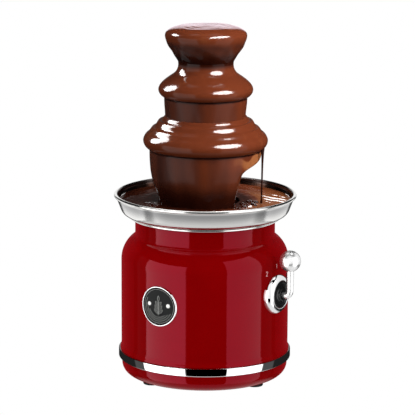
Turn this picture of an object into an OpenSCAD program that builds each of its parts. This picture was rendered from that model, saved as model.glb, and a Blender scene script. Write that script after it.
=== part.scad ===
// Table-top chocolate fountain with chocolate running over its tower.
// Z is up, the origin is on the table under the tower's axis, the badge faces -Y and the lever is on +X.

/* [Housing] */
// Outer radius of the round housing
body_r = 87.5; // [86:0.5:89]
// Outer radius of the neck under the bowl
neck_r = 73; // [72:0.5:75]
// Radius of the shoulder arc between body and neck
shoulder_r = 30; // [27:1:32]
// Height at which the shoulder starts
shoulder_z = 128.5; // [126:0.5:131]
// Wall thickness of the housing and the base ring
wall = 2; // [1.6:0.1:2.2]

/* [Base] */
// Height of the rubber feet
foot_h = 6.5; // [5:0.5:8]
// Radius of a foot's sole
foot_r = 9; // [7:0.5:10]
// Radius of the circle on which the feet stand
foot_circle_r = 62; // [58:1:64]
// Height of the base ring
base_ring_h = 18; // [17:0.5:19]
// Height of the chrome band
band_h = 8.5; // [7:0.5:10]
// How far the chrome band stands out past the housing
band_proud = 2.8; // [2:0.2:3.2]

/* [Bowl] */
// Outer radius of the bowl's rim
bowl_rim_r = 95; // [94:0.5:97]
// Depth of the bowl from its underside to its rim
bowl_depth = 25.6; // [24:0.2:27]
// Slope of the bowl's wall from the vertical
bowl_slope = 20; // [16:1:24]
// Sheet thickness of the bowl
bowl_t = 0.9; // [0.7:0.1:1.2]
// Depth of the chocolate in the bowl
pool_h = 18; // [16:0.1:19]

/* [Tower] */
// Bore of the tower's tube
tube_bore_r = 22.8; // [22.6:0.1:23]
// Lip radius of the lower tier
lower_r = 63; // [62:0.5:64]
// Lip radius of the middle tier
middle_r = 47.3; // [46.5:0.1:48]
// Rim radius of the crown
crown_r = 40.7; // [40:0.1:41.5]
// Thickness of the chocolate film on the tiers
film = 1.7; // [1.4:0.1:2]

/* [Auger] */
// Outer radius of the auger's flight
flight_r = 22.2; // [21:0.1:22.3]
// Rise of the flight in one turn
flight_pitch = 38; // [30:1:46]
// Thickness of the flight
flight_t = 2.4; // [1.6:0.2:3]

/* [Selector] */
// Height of the selector's axis
dial_z = 102; // [96:0.5:106]
// Outer radius of the chrome bezel
bezel_r = 20.8; // [20:0.2:22]
// Length of the lever from its axis to the middle of its ball
lever_l = 36.5; // [35:0.5:40]
// Radius of the lever's ball
ball_r = 11; // [9:0.5:12]

/* [Badge] */
// Height of the badge's middle
badge_z = 95; // [90:0.5:100]
// Outer radius of the badge's ring
badge_r = 21; // [19:0.5:23]
// Distance of each indicator lamp from the badge's middle
lamp_x = 11.3; // [9:0.1:13]

/* [Hidden] */
$fn = 64;
gap = 0.2;
clearance = 0.05;
base_z = foot_h;
band_z = base_z + base_ring_h;
housing_z = band_z + band_h;
cover_t = 2.5;
cover_r = 76.8;
cover_top = base_z + cover_t;
base_r = body_r - 0.7;
base_fillet = 8;
skirt_r = body_r - 2.3;
skirt_drop = 11.5;
post_circle_r = 68;
post_r = 5;
post_top = 62.5;

shelf_t = 2;
shelf_top = 171.8;
shelf_bore_r = 58;
gasket_t = 1;
bowl_z = shelf_top + gasket_t;
floor_z = bowl_z + bowl_t;
rim_z = bowl_z + bowl_depth;
pool_z = bowl_z + pool_h;
bowl_corner = 11;
bead_r = 1.6;
stud_circle_r = 64;
stud_r = 2;
bracket_t = 2;

heater_r = 52;
heater_t = 6;
heater_z = bowl_z - heater_t;
element_circle_r = 42;
element_r = 3.2;
bush_r = 9;
bush_top = 184.5;
nut_h = 5.4;

shaft_r = 4;
motor_shaft_r = 3.5;
gearbox_top = 138.5;
gearbox_h = 22;
can_h = 36;
coupling_z = 143.5;
coupling_h = 16;
shaft_top = 206.5;
pin_z = 194.5;

tube_step = [26.5, 25.5, 24.5];
tube_foot_r = 35;
tube_z = floor_z + 0.4;
lower_seat = bowl_z + 74.7;
middle_seat = bowl_z + 125.7;
tube_top = bowl_z + 165.7;
locator_circle_r = 30.5;
locator_r = 2.5;
lower_lip_z = bowl_z + 77;
middle_lip_z = bowl_z + 133;
crown_seat = bowl_z + 155.7;
crown_rim_z = bowl_z + 190.7;
sheet_t = 1.5;
curtain_t = 1.4;
pool_bore_r = 36;
pool_gap = 0.4;

auger_foot = bush_top + 1;
auger_top = tube_top + 9;
auger_core_r = 6;
auger_hub_r = 10;
flight_start = auger_foot + 30;
flight_steps = 24;

hub_x = body_r + 3.2;
hub_h = 4.6;
hub_r = 14;
hub_screw_x = hub_x + 3.5;
boss_r = 6;
switch_neck_r = 4.7;
switch_shaft_r = 3;
elbow_r = 5;
arm_x = 103.5;
stub_r = 2.7;
arm_r = 3.7;
arm_top_r = 4.1;
spigot_r = 1.6;

gland_z = 18;
gland_r = 5;
cord_r = 3.2;

drip_angle = 13;
draw_angle = 32.4;

// Point on a cubic curve with the control points a, b, c and d
function cubic(a, b, c, d, t) =
    pow(1 - t, 3) * a + 3 * pow(1 - t, 2) * t * b + 3 * (1 - t) * t * t * c + t * t * t * d;

// Points along a cubic curve from t0 to t1
function curve(a, b, c, d, n = 8, t0 = 0, t1 = 1) =
    [for (i = [0:n]) cubic(a, b, c, d, t0 + (t1 - t0) * i / n)];

function reversed(points) = [for (i = [len(points) - 1:-1:0]) points[i]];

function shifted(points, by) = [for (p = points) p + by];

// Repeats a child on a circle round the tower's axis
module around(count, radius, first = 0) {
    for (i = [0:count - 1])
        rotate(first + i * 360 / count)
            translate([radius, 0, 0])
                children();
}

// Lays a revolved piece on the selector's axis, so that its z becomes the distance out along +X
module on_selector_axis() {
    translate([0, 0, dial_z])
        rotate([0, 90, 0])
            children();
}

// Lays a straight piece on the badge's axis, so that its z becomes the distance out along -Y
module on_badge_axis() {
    translate([0, 0, badge_z])
        rotate([90, 0, 0])
            children();
}

module ring(outer, inner, height) {
    difference() {
        cylinder(r = outer, h = height);
        translate([0, 0, -1])
            cylinder(r = inner, h = height + 2);
    }
}

// Half section of the housing's outside, taken in by inset
module housing_half(inset) {
    translate([0, housing_z])
        square([body_r - inset, shoulder_z - housing_z]);
    intersection() {
        translate([body_r - shoulder_r, shoulder_z])
            circle(r = shoulder_r - inset);
        translate([0, shoulder_z])
            square([body_r, shoulder_r]);
    }
    translate([0, shoulder_z])
        square([neck_r - inset, shelf_top - shoulder_z - (inset > 0 ? shelf_t : 0)]);
}

module housing_shell() {
    rotate_extrude() {
        difference() {
            housing_half(0);
            housing_half(wall);
            square([shelf_bore_r, shelf_top + 1]);
        }
        polygon([[body_r - 1, housing_z], [body_r + 1.3, housing_z], [body_r + 1.3, housing_z + 0.8],
            [body_r, housing_z + 5.5], [body_r - 1, housing_z + 5.5]]);
        translate([skirt_r - wall, housing_z - skirt_drop])
            square([wall, skirt_drop + 6]);
        translate([skirt_r - wall, housing_z])
            square([body_r - skirt_r + wall - 0.5, wall]);
    }
}

module screw_posts() {
    around(3, post_circle_r, 60) {
        translate([0, 0, cover_top + gap])
            cylinder(r = post_r, h = post_top - cover_top - gap);
        translate([post_r - 1, -1.2, housing_z + 7])
            cube([body_r - post_circle_r - post_r + 1 - wall / 2, 2.4, post_top - housing_z - 8]);
    }
}

module housing() {
    color("firebrick")
        difference() {
            union() {
                housing_shell();
                screw_posts();
            }
            around(3, post_circle_r, 60)
                translate([0, 0, base_z])
                    cylinder(r = 1.7, h = 22);
            around(3, stud_circle_r)
                translate([0, 0, shelf_top - shelf_t - 1])
                    cylinder(r = stud_r + gap, h = shelf_t + 2);
            translate([-8, skirt_r - wall - 2, housing_z - skirt_drop - 1])
                cube([16, wall + 3, 6]);
            on_selector_axis()
                translate([0, 0, body_r - 10])
                    cylinder(r = switch_neck_r + gap, h = 20);
            for (side = [-1, 1])
                on_badge_axis()
                    translate([side * lamp_x, 1.5, body_r - 10])
                        cylinder(r = 2.4, h = 20);
        }
}

module chrome_band() {
    edge = 0.8;
    inner = skirt_r + gap;
    outer = body_r + band_proud;
    color("silver")
        rotate_extrude()
            polygon([[inner, band_z], [outer - edge, band_z], [outer, band_z + edge],
                [outer, housing_z - edge], [outer - edge, housing_z], [inner, housing_z]]);
}

// Half section of the base ring's outside, taken in by inset
module base_half(inset) {
    straight_z = base_z + base_fillet;
    translate([0, straight_z])
        square([base_r - inset, band_z - straight_z]);
    translate([0, base_z + inset])
        square([base_r - base_fillet, base_fillet]);
    intersection() {
        translate([base_r - base_fillet, straight_z])
            circle(r = base_fillet - inset);
        translate([base_r - base_fillet, base_z])
            square([base_fillet, base_fillet]);
    }
}

module base_ring() {
    ledge_r = cover_r - 2.3;
    color("firebrick")
        difference() {
            rotate_extrude() {
                difference() {
                    base_half(0);
                    base_half(wall);
                    square([cover_r + gap, band_z]);
                }
                translate([ledge_r, cover_top])
                    square([base_r - wall - 0.5 - ledge_r, wall]);
            }
            translate([0, 0, housing_z - skirt_drop - gap])
                cylinder(r = skirt_r + gap, h = skirt_drop);
            translate([0, base_r - 15, gland_z])
                rotate([-90, 0, 0])
                    cylinder(r = gland_r + gap, h = 20);
        }
}

module bottom_cover() {
    vent_count = 10;
    color("dimgray")
        difference() {
            union() {
                translate([0, 0, base_z])
                    cylinder(r = cover_r, h = cover_t);
                translate([0, 0, cover_top])
                    ring(24, 22.4, 4);
            }
            around(3, foot_circle_r)
                translate([0, 0, base_z - 1])
                    cylinder(r = 3.3, h = cover_t + 2);
            around(3, post_circle_r, 60) {
                translate([0, 0, base_z - 1])
                    cylinder(r = 1.9, h = cover_t + 2);
                translate([0, 0, base_z - 1])
                    cylinder(r = 3.8, h = 2.6);
            }
            around(vent_count, 32, 18)
                translate([0, -1.5, base_z - 1])
                    cube([16, 3, cover_t + 2]);
        }
}

module cover_screws() {
    color("gray")
        around(3, post_circle_r, 60)
            difference() {
                translate([0, 0, base_z + 0.2])
                    union() {
                        cylinder(r = 3.5, h = 1.4);
                        cylinder(r = 1.6, h = 18);
                    }
                translate([-2.6, -0.4, base_z - 0.5])
                    cube([5.2, 0.8, 1.4]);
                translate([-0.4, -2.6, base_z - 0.5])
                    cube([0.8, 5.2, 1.4]);
            }
}

// Push-in feet: a sole under the cover and a barbed stem through it
module rubber_feet() {
    stem_r = 3.2;
    barb_r = 4.3;
    color("black")
        around(3, foot_circle_r)
            rotate_extrude()
                polygon([[0, 0], [foot_r - 1, 0], [foot_r, 1], [foot_r, base_z], [stem_r, base_z],
                    [stem_r, cover_top + 0.1], [barb_r, cover_top + 0.1], [stem_r - 1, cover_top + 3.5],
                    [0, cover_top + 3.5]]);
}

// Grommet for the mains cord: an inner flange, a body in the wall and a tapered nose
module cord_gland() {
    inner_y = base_r - wall - 4.2;
    flange_r = 6.8;
    wall_y = inner_y + 3;
    nose_y = base_r + 3.4;
    color("black")
        translate([0, 0, gland_z])
            rotate([-90, 0, 0])
                rotate_extrude()
                    polygon([[cord_r, inner_y], [flange_r, inner_y], [flange_r, wall_y], [gland_r, wall_y],
                        [gland_r, base_r + 0.6], [gland_r - 1, nose_y], [cord_r, nose_y]]);
}

module terminal_block() {
    ways = 3;
    way_w = 9;
    color("ivory")
        translate([-44, 24, cover_top])
            difference() {
                cube([ways * way_w + 3, 18, 14]);
                for (i = [0:ways - 1])
                    translate([6 + i * way_w, 9, 0]) {
                        translate([0, 0, 7])
                            cylinder(r = 2.4, h = 8);
                        translate([0, -10, 6])
                            rotate([-90, 0, 0])
                                cylinder(r = 1.8, h = 20);
                    }
            }
}

module motor_can() {
    can_top = gearbox_top - gearbox_h;
    color("lightgray") {
        difference() {
            translate([0, 0, can_top - can_h])
                cylinder(r = 28, h = can_h);
            around(6, 20, 30)
                translate([-4, -1, can_top - can_h - 1])
                    cube([8, 2, 3]);
        }
        translate([0, 0, can_top - can_h - 4])
            cylinder(r = 9, h = 4.5);
        for (side = [-1, 1])
            translate([27, side * 6 - 2.4, can_top - 14])
                cube([8, 4.8, 0.8]);
    }
}

module gearbox() {
    ear_x = 34;
    color("gainsboro")
        difference() {
            union() {
                translate([0, 0, gearbox_top - gearbox_h])
                    cylinder(r = 30, h = gearbox_h);
                for (side = [-1, 1])
                    hull() {
                        translate([side * ear_x, 0, gearbox_top - 4])
                            cylinder(r = 5, h = 4, $fn = 32);
                        translate([side * 24, 0, gearbox_top - 4])
                            cylinder(r = 8, h = 4, $fn = 32);
                    }
            }
            translate([0, 0, gearbox_top - 14])
                cylinder(r = motor_shaft_r + clearance, h = 20);
            for (side = [-1, 1])
                translate([side * ear_x, 0, gearbox_top - 6])
                    cylinder(r = 1.7, h = 8);
        }
}

// Steel spider that hangs the gear motor under the housing's shelf
module motor_bracket() {
    plate_r = 40;
    arm_w = 16;
    tab_top = shelf_top - shelf_t;
    drop_r = stud_circle_r - 9;
    color("silver")
        difference() {
            union() {
                translate([0, 0, gearbox_top])
                    cylinder(r = plate_r, h = bracket_t);
                around(3, 0) {
                    translate([plate_r - 6, -arm_w / 2, gearbox_top])
                        cube([drop_r - plate_r + 6, arm_w, bracket_t]);
                    translate([drop_r - bracket_t, -arm_w / 2, gearbox_top])
                        cube([bracket_t, arm_w, tab_top - gearbox_top]);
                    translate([drop_r - bracket_t, -arm_w / 2, tab_top - bracket_t])
                        cube([stud_circle_r + 6 - drop_r + bracket_t, arm_w, bracket_t]);
                }
            }
            translate([0, 0, gearbox_top - 1])
                cylinder(r = 12, h = bracket_t + 2);
            around(3, stud_circle_r)
                translate([0, 0, tab_top - bracket_t - 1])
                    cylinder(r = stud_r + gap, h = bracket_t + 2);
            for (side = [-1, 1])
                translate([side * 34, 0, gearbox_top - 1])
                    cylinder(r = 2, h = bracket_t + 2);
            around(3, 26, 60)
                translate([0, 0, gearbox_top - 1])
                    cylinder(r = 5, h = bracket_t + 2);
        }
}

module motor_screws() {
    color("gray")
        for (side = [-1, 1])
            translate([side * 34, 0, 0]) {
                translate([0, 0, gearbox_top + bracket_t])
                    cylinder(r = 3.2, h = 2.2);
                translate([0, 0, gearbox_top - 4])
                    cylinder(r = 1.6, h = bracket_t + 4.5);
            }
}

module motor_shaft() {
    color("silver")
        translate([0, 0, gearbox_top - 13.5])
            cylinder(r = motor_shaft_r, h = coupling_z + 8 - gearbox_top + 13.5);
}

module shaft_coupling() {
    color("goldenrod")
        difference() {
            translate([0, 0, coupling_z])
                cylinder(r = bush_r, h = coupling_h);
            translate([0, 0, coupling_z - 1])
                cylinder(r = motor_shaft_r + clearance, h = coupling_h);
            translate([0, 0, coupling_z + coupling_h / 2])
                cylinder(r = shaft_r + clearance, h = coupling_h);
            for (z = [4, coupling_h - 4])
                translate([3, 0, coupling_z + z])
                    rotate([0, 90, 0])
                        cylinder(r = 1.6, h = bush_r);
        }
}

module coupling_screws() {
    color("gray")
        for (z = [4, coupling_h - 4])
            translate([4.3, 0, coupling_z + z])
                rotate([0, 90, 0])
                    cylinder(r = 1.5, h = 4);
}

module drive_shaft() {
    bottom = coupling_z + coupling_h / 2 + gap;
    color("silver")
        difference() {
            union() {
                translate([0, 0, bottom])
                    cylinder(r = shaft_r, h = shaft_top - 1.5 - bottom);
                translate([0, 0, shaft_top - 1.5])
                    cylinder(r1 = shaft_r, r2 = shaft_r - 1.5, h = 1.5);
            }
            translate([-shaft_r - 1, 0, pin_z])
                rotate([0, 90, 0])
                    cylinder(r = 1.5 + clearance, h = 2 * shaft_r + 2);
        }
}

module drive_pin() {
    color("silver")
        translate([-8, 0, pin_z])
            rotate([0, 90, 0])
                cylinder(r = 1.5, h = 16);
}

// Threaded sleeve that clamps the heater to the bowl and guides the drive shaft
module drive_bush() {
    bottom = heater_z - nut_h - 0.6;
    flange_r = 14;
    seal_seat = bush_top - 4;
    color("goldenrod")
        rotate_extrude()
            polygon([[shaft_r + clearance, bottom], [bush_r - 1, bottom], [bush_r, bottom + 1],
                [bush_r, floor_z], [flange_r, floor_z], [flange_r, floor_z + 2], [flange_r - 3, floor_z + 3],
                [bush_r - 0.5, floor_z + 3], [bush_r - 0.5, bush_top], [6.5, bush_top], [6.5, seal_seat],
                [shaft_r + clearance, seal_seat]]);
}

module bush_nut() {
    color("goldenrod")
        translate([0, 0, heater_z - nut_h])
            difference() {
                cylinder(r = 13, h = nut_h, $fn = 6);
                translate([0, 0, -1])
                    cylinder(r = bush_r + clearance, h = nut_h + 2);
            }
}

module shaft_seal() {
    color("black")
        translate([0, 0, bush_top - 3.9])
            ring(6.4, shaft_r + clearance, 3.6);
}

module heater_plate() {
    color("lightgray")
        difference() {
            translate([0, 0, heater_z])
                cylinder(r = heater_r, h = heater_t);
            translate([0, 0, heater_z - 1])
                cylinder(r = bush_r + gap, h = heater_t + 2);
            translate([0, 0, heater_z])
                rotate_extrude()
                    translate([element_circle_r, 0])
                        circle(r = element_r + 0.1);
        }
}

// Tubular element in the plate's groove, with its two cold ends turned down
module heating_element() {
    open_angle = 40;
    color("dimgray")
        translate([0, 0, heater_z]) {
            rotate(open_angle / 2)
                rotate_extrude(angle = 360 - open_angle)
                    translate([element_circle_r, 0])
                        circle(r = element_r);
            for (side = [-1, 1])
                rotate(side * (open_angle / 2 + 4))
                    translate([element_circle_r, 0, -10])
                        cylinder(r = 2, h = 8.5);
        }
}

module thermostat() {
    color("ivory")
        translate([-25, 0, heater_z - 8]) {
            cylinder(r = 8, h = 8);
            for (side = [-1, 1])
                translate([-0.4, side * 4 - 2, -6])
                    cube([0.8, 4, 6.5]);
        }
}

module thermal_fuse() {
    color("white")
        translate([25, 0, heater_z - 3.4]) {
            rotate([90, 0, 0])
                cylinder(r = 2.4, h = 16, center = true);
            translate([-4.5, -3, 2])
                cube([9, 6, 1.4]);
            rotate([90, 0, 0])
                cylinder(r = 0.6, h = 30, center = true);
        }
}

module bowl_gasket() {
    color("gray")
        translate([0, 0, shelf_top])
            difference() {
                ring(neck_r - 2.5, shelf_bore_r + 1, gasket_t);
                around(3, stud_circle_r)
                    translate([0, 0, -1])
                        cylinder(r = stud_r + gap, h = gasket_t + 2);
            }
}

// Half section of the bowl's outside, taken in by inset: flat floor, round corner and sloping wall
module bowl_half(inset) {
    normal = [cos(bowl_slope), -sin(bowl_slope)];
    wall_top = [bowl_rim_r - bead_r - inset / cos(bowl_slope), rim_z - bead_r];
    drop = wall_top[1] - (bowl_z + bowl_corner);
    corner_x = bowl_rim_r - bead_r - bowl_corner / cos(bowl_slope) - drop * tan(bowl_slope);
    corner = [corner_x, bowl_z + bowl_corner];
    tangent = corner + (bowl_corner - inset) * normal;
    polygon([[0, bowl_z + inset], [corner[0], bowl_z + inset], tangent, wall_top, [0, wall_top[1]]]);
    translate(corner)
        intersection() {
            circle(r = bowl_corner - inset);
            polygon(2 * bowl_corner * [[0, 0], [0, -1], [1, -1], normal]);
        }
}

module bowl() {
    color("silver")
        difference() {
            rotate_extrude() {
                difference() {
                    bowl_half(0);
                    bowl_half(bowl_t);
                    translate([0, rim_z - bead_r - 0.01])
                        square([bowl_rim_r - bead_r - 1.5, 1]);
                }
                translate([bowl_rim_r - bead_r, rim_z - bead_r])
                    circle(r = bead_r);
            }
            translate([0, 0, bowl_z - 1])
                cylinder(r = bush_r + gap, h = bowl_t + 2);
        }
}

module bowl_studs() {
    length = 11;
    color("silver")
        around(3, stud_circle_r)
            translate([0, 0, bowl_z - length])
                cylinder(r = stud_r, h = length);
}

module stud_nuts() {
    top = shelf_top - shelf_t - bracket_t;
    color("gray")
        around(3, stud_circle_r)
            translate([0, 0, top - 3.2])
                difference() {
                    cylinder(r = 4, h = 3.2, $fn = 6);
                    translate([0, 0, -1])
                        cylinder(r = stud_r + clearance, h = 6);
                }
}

module tower_locators() {
    color("silver")
        around(3, locator_circle_r, 30)
            translate([0, 0, floor_z]) {
                cylinder(r = locator_r, h = 7);
                translate([0, 0, 7])
                    cylinder(r1 = locator_r, r2 = locator_r - 1, h = 1);
            }
}

// Stepped tube: each tier drops over the tube and sits on its own step
module tower_tube() {
    arch_w = 14;
    arch_h = 10;
    color("whitesmoke")
        difference() {
            rotate_extrude()
                polygon([[tube_bore_r, tube_z], [tube_foot_r, tube_z], [tube_foot_r, tube_z + 3],
                    [tube_step[0] + 3, tube_z + 3], [tube_step[0], tube_z + 6], [tube_step[0], lower_seat],
                    [tube_step[1], lower_seat], [tube_step[1], middle_seat], [tube_step[2], middle_seat],
                    [tube_step[2], tube_top], [tube_bore_r, tube_top]]);
            around(3, locator_circle_r, 30)
                translate([0, 0, tube_z - 1])
                    cylinder(r = locator_r + 0.4, h = 12);
            around(3, 0, 90)
                translate([tube_bore_r - 6, 0, tube_z + 4]) {
                    translate([0, -arch_w / 2, 0])
                        cube([16, arch_w, arch_h]);
                    translate([0, 0, arch_h])
                        rotate([0, 90, 0])
                            cylinder(r = arch_w / 2, h = 16);
                }
        }
}

// Control points of the lower tier's dome, from its hub to its lip
lower_dome = [[tube_step[1] + 1.7, lower_lip_z + 31.5], [lower_r - 19.5, lower_lip_z + 25],
    [lower_r - 4.5, lower_lip_z + 16.5], [lower_r, lower_lip_z + 3.5]];

// Control points of the middle tier's dome
middle_dome = [[tube_step[2] + 1.7, middle_lip_z + 21], [tube_step[2] + 5, middle_lip_z + 13.4],
    [middle_r - 3, middle_lip_z + 13], [middle_r, middle_lip_z + 2.8]];

// A tier: a hub on the tube and a thin dome that ends in a plain lip
module tier(dome, bore_r, seat, lip_z) {
    under = [-sheet_t, -sheet_t];
    hub_r = dome[0][0];
    lip_r = dome[3][0];
    outside = curve(dome[0], dome[1], dome[2], dome[3]);
    inside = curve(dome[0] + [0, -2 * sheet_t], dome[1] + under, dome[2] + under, dome[3] + [-sheet_t, 0]);
    rotate_extrude()
        polygon(concat([[bore_r, seat + 0.1], [hub_r, seat + 0.1]], inside, [[lip_r - sheet_t, lip_z],
            [lip_r, lip_z]], reversed(outside), [[bore_r, dome[0][1]]]));
}

module lower_tier() {
    color("whitesmoke")
        tier(lower_dome, tube_step[1] + 0.1, lower_seat, lower_lip_z);
}

module middle_tier() {
    color("whitesmoke")
        tier(middle_dome, tube_step[2] + 0.1, middle_seat, middle_lip_z);
}

crown_hub_r = tube_step[2] + 1.7;
crown_cone_z = crown_seat + 8;

module crown() {
    bore_r = tube_step[2] + 0.1;
    color("whitesmoke")
        rotate_extrude()
            polygon([[bore_r, crown_seat + 0.1], [crown_hub_r, crown_seat + 0.1], [crown_hub_r, crown_cone_z],
                [crown_r, crown_rim_z - 2.5], [crown_r, crown_rim_z], [crown_r - sheet_t, crown_rim_z],
                [crown_r - sheet_t, crown_rim_z - 2], [bore_r, crown_cone_z + 0.8]]);
}

// Shaft of the auger: a hub that drops over the drive shaft and its cross pin, then a plain rod
module auger_core() {
    cone_z = auger_foot + 23;
    slot_w = 3.6;
    color("whitesmoke")
        difference() {
            rotate_extrude()
                polygon([[0, auger_foot], [auger_hub_r, auger_foot], [auger_hub_r, cone_z],
                    [auger_core_r, cone_z + 6], [auger_core_r, auger_top - 3], [auger_core_r - 3, auger_top],
                    [0, auger_top]]);
            translate([0, 0, auger_foot - 1])
                cylinder(r = shaft_r + 0.1, h = shaft_top - auger_foot + 1.6);
            translate([-auger_hub_r - 1, -slot_w / 2, auger_foot - 1])
                cube([2 * auger_hub_r + 2, slot_w, pin_z - auger_foot + 1 + slot_w / 2]);
        }
}

// Ring of the flight at step i: inner bottom, outer bottom, outer top and inner top corner
function flight_ring(i) =
    let (angle = i * 360 / flight_steps, z = flight_start + flight_pitch * i / flight_steps,
        inner = auger_core_r + 0.15)
    [for (c = [[inner, 0], [flight_r, 0.6], [flight_r, flight_t - 0.6], [inner, flight_t]])
        [c[0] * cos(angle), c[0] * sin(angle), z + c[1]]];

// Triangles of the two faces that each pair of neighbouring corners sweeps between rings i and i + 1
function flight_walls(i) =
    [for (k = [0:3]) each let (a = 4 * i + k, b = 4 * i + (k + 1) % 4)
        [[a, a + 4, b], [b, a + 4, b + 4]]];

module auger_flight() {
    steps = floor((auger_top - 8 - flight_start) / flight_pitch * flight_steps);
    end = 4 * steps;
    points = [for (i = [0:steps]) each flight_ring(i)];
    faces = concat([[0, 1, 2], [0, 2, 3]], [for (i = [0:steps - 1]) each flight_walls(i)],
        [[end, end + 2, end + 1], [end, end + 3, end + 2]]);
    color("whitesmoke")
        polyhedron(points = points, faces = faces);
}

module dial_bezel() {
    bore_r = hub_r + 0.6;
    width = bezel_r - bore_r;
    color("silver")
        difference() {
            on_selector_axis()
                rotate_extrude()
                    translate([bore_r, body_r - 0.2]) {
                        translate([0, -6])
                            square([width, 6]);
                        intersection() {
                            circle(r = width);
                            square(width);
                        }
                    }
            cylinder(r = body_r + 0.1, h = 200);
        }
}

module switch_body() {
    front = body_r - wall - 1.3;
    side = 25;
    depth = 22;
    color("dimgray")
        difference() {
            union() {
                translate([front - depth, -side / 2, dial_z - side / 2])
                    cube([depth, side, side]);
                on_selector_axis()
                    translate([0, 0, front])
                        cylinder(r = switch_neck_r, h = hub_x - 1 - front);
                for (y = [-8, 0, 8])
                    translate([front - depth - 7, y - 2.4, dial_z - 0.4])
                        cube([7.5, 4.8, 0.8]);
            }
            on_selector_axis()
                translate([0, 0, front - 12])
                    cylinder(r = switch_shaft_r + clearance, h = 40);
        }
}

module switch_nut() {
    color("silver")
        on_selector_axis()
            translate([0, 0, body_r + 0.1])
                difference() {
                    cylinder(r = 7.5, h = 2, $fn = 6);
                    translate([0, 0, -1])
                        cylinder(r = switch_neck_r + clearance, h = 4);
                }
}

module switch_shaft() {
    bottom = body_r - wall - 13;
    top = hub_x + hub_h - 0.9;
    color("gray")
        on_selector_axis()
            difference() {
                translate([0, 0, bottom])
                    cylinder(r = switch_shaft_r, h = top - bottom);
                translate([0, 0, top - 6])
                    cylinder(r = spigot_r + clearance, h = 8);
            }
}

// Dished black disc inside the bezel, with a raised boss that carries the lever
module selector_hub() {
    color("black")
        difference() {
            on_selector_axis()
                rotate_extrude()
                    polygon([[0, hub_x], [hub_r, hub_x], [hub_r, hub_x + 2.4], [hub_r - 1, hub_x + 3],
                        [boss_r + 2, hub_x + 1.6], [boss_r, hub_x + 2.4], [boss_r, hub_x + hub_h], [0, hub_x + hub_h]]);
            on_selector_axis() {
                translate([0, 0, hub_x - 1])
                    cylinder(r = switch_shaft_r + 0.02, h = hub_h + 0.2);
                translate([0, 0, hub_x])
                    cylinder(r = spigot_r + gap, h = hub_h + 1);
            }
            translate([hub_screw_x, 0, dial_z - boss_r - 1])
                cylinder(r = 1, h = 5);
        }
}

module hub_screw() {
    color("gray")
        translate([hub_screw_x, 0, dial_z - boss_r + 0.2])
            cylinder(r = 0.95, h = 2.6);
}

// Bent rod with a threaded spigot in the switch shaft, a collar on the hub, an elbow and a tapered arm
module lever_arm() {
    foot_x = hub_x + hub_h;
    neck_z = dial_z + lever_l - ball_r;
    color("silver") {
        on_selector_axis() {
            translate([0, 0, foot_x])
                cylinder(r1 = stub_r, r2 = arm_r, h = arm_x - elbow_r - foot_x);
            translate([0, 0, foot_x - 6])
                cylinder(r = spigot_r, h = 7);
        }
        translate([arm_x - elbow_r, 0, dial_z + elbow_r])
            rotate([90, 0, 0])
                rotate([0, 0, -90])
                    rotate_extrude(angle = 90)
                        translate([elbow_r, 0])
                            circle(r = arm_r);
        translate([arm_x, 0, dial_z + elbow_r])
            cylinder(r1 = arm_r, r2 = arm_top_r, h = neck_z - dial_z - elbow_r);
        translate([arm_x, 0, neck_z])
            cylinder(r = 2.5, h = 8);
    }
}

module lever_ball() {
    middle = dial_z + lever_l;
    color("silver")
        difference() {
            translate([arm_x, 0, middle])
                sphere(r = ball_r);
            translate([arm_x, 0, middle - ball_r - 1])
                cylinder(r = 2.6, h = 10);
            translate([arm_x, 0, middle - ball_r - 3])
                cylinder(r = arm_top_r + 0.2, h = 3.1);
        }
}

// Part of the housing's round surface under the badge, as a curved sheet from depth a to depth b
module badge_sheet(a, b) {
    intersection() {
        translate([0, 0, badge_z - 2 * badge_r])
            ring(body_r + b, body_r + a, 4 * badge_r);
        on_badge_axis()
            children();
    }
}

module badge_ring() {
    color("silver")
        badge_sheet(0.05, 1.8)
            ring(badge_r, badge_r - 1.6, 2 * body_r);
}

module badge_face() {
    color("black")
        difference() {
            badge_sheet(0.05, 0.9)
                cylinder(r = badge_r - 1.7, h = 2 * body_r);
            for (side = [-1, 1])
                on_badge_axis()
                    translate([side * lamp_x, 1.5, body_r - 10])
                        cylinder(r = 2.25, h = 20);
        }
}

module lamp_lenses() {
    dome = 0.8;
    color("white")
        for (side = [-1, 1])
            on_badge_axis()
                translate([side * lamp_x, 1.5, body_r - 7])
                    rotate_extrude()
                        polygon([[0, 0], [2.1, 0], [2.1, 7.2], [1.5, 7.2 + dome / 2], [0, 7.2 + dome]]);
}

module lamp_board() {
    color("darkgreen")
        translate([-18, -body_r + 7 + 0.1, badge_z - 7])
            cube([36, 1.6, 16]);
}

module chocolate_pool() {
    color("saddlebrown")
        rotate_extrude()
            intersection() {
                bowl_half(bowl_t + 0.1);
                translate([pool_bore_r, bowl_z])
                    square([bowl_rim_r, pool_h]);
            }
}

// Waist of the chocolate between crown and middle tier
waist = [crown_hub_r + 2.7, crown_cone_z + 0.5];
crown_top = crown_rim_z + 10.2;

module chocolate_crown() {
    rim = [crown_r + film, crown_rim_z + 1];
    plug_z = crown_rim_z - 8;
    outside = concat([[0, crown_top + 0.6]],
        curve([crown_r - 14.7, crown_top], [crown_r - 4.7, crown_top - 0.4], rim + [0.2, 5.5], rim),
        curve(rim, rim + [-0.2, -7], waist + [5.6, 9.5], waist));
    inside = [waist - [1.9, 0], [crown_r + gap, crown_rim_z - 2.5], [crown_r + gap, crown_rim_z + gap],
        [crown_r - sheet_t - gap, crown_rim_z + gap], [crown_r - sheet_t - gap, crown_rim_z - 2.3],
        [crown_r - 5.5, plug_z], [0, plug_z]];
    color("saddlebrown")
        rotate_extrude()
            polygon(concat(outside, inside));
}

// Foot of the middle curtain, where it lands on the lower tier
landing = [middle_r - 6.1, lower_lip_z + 29];

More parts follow.
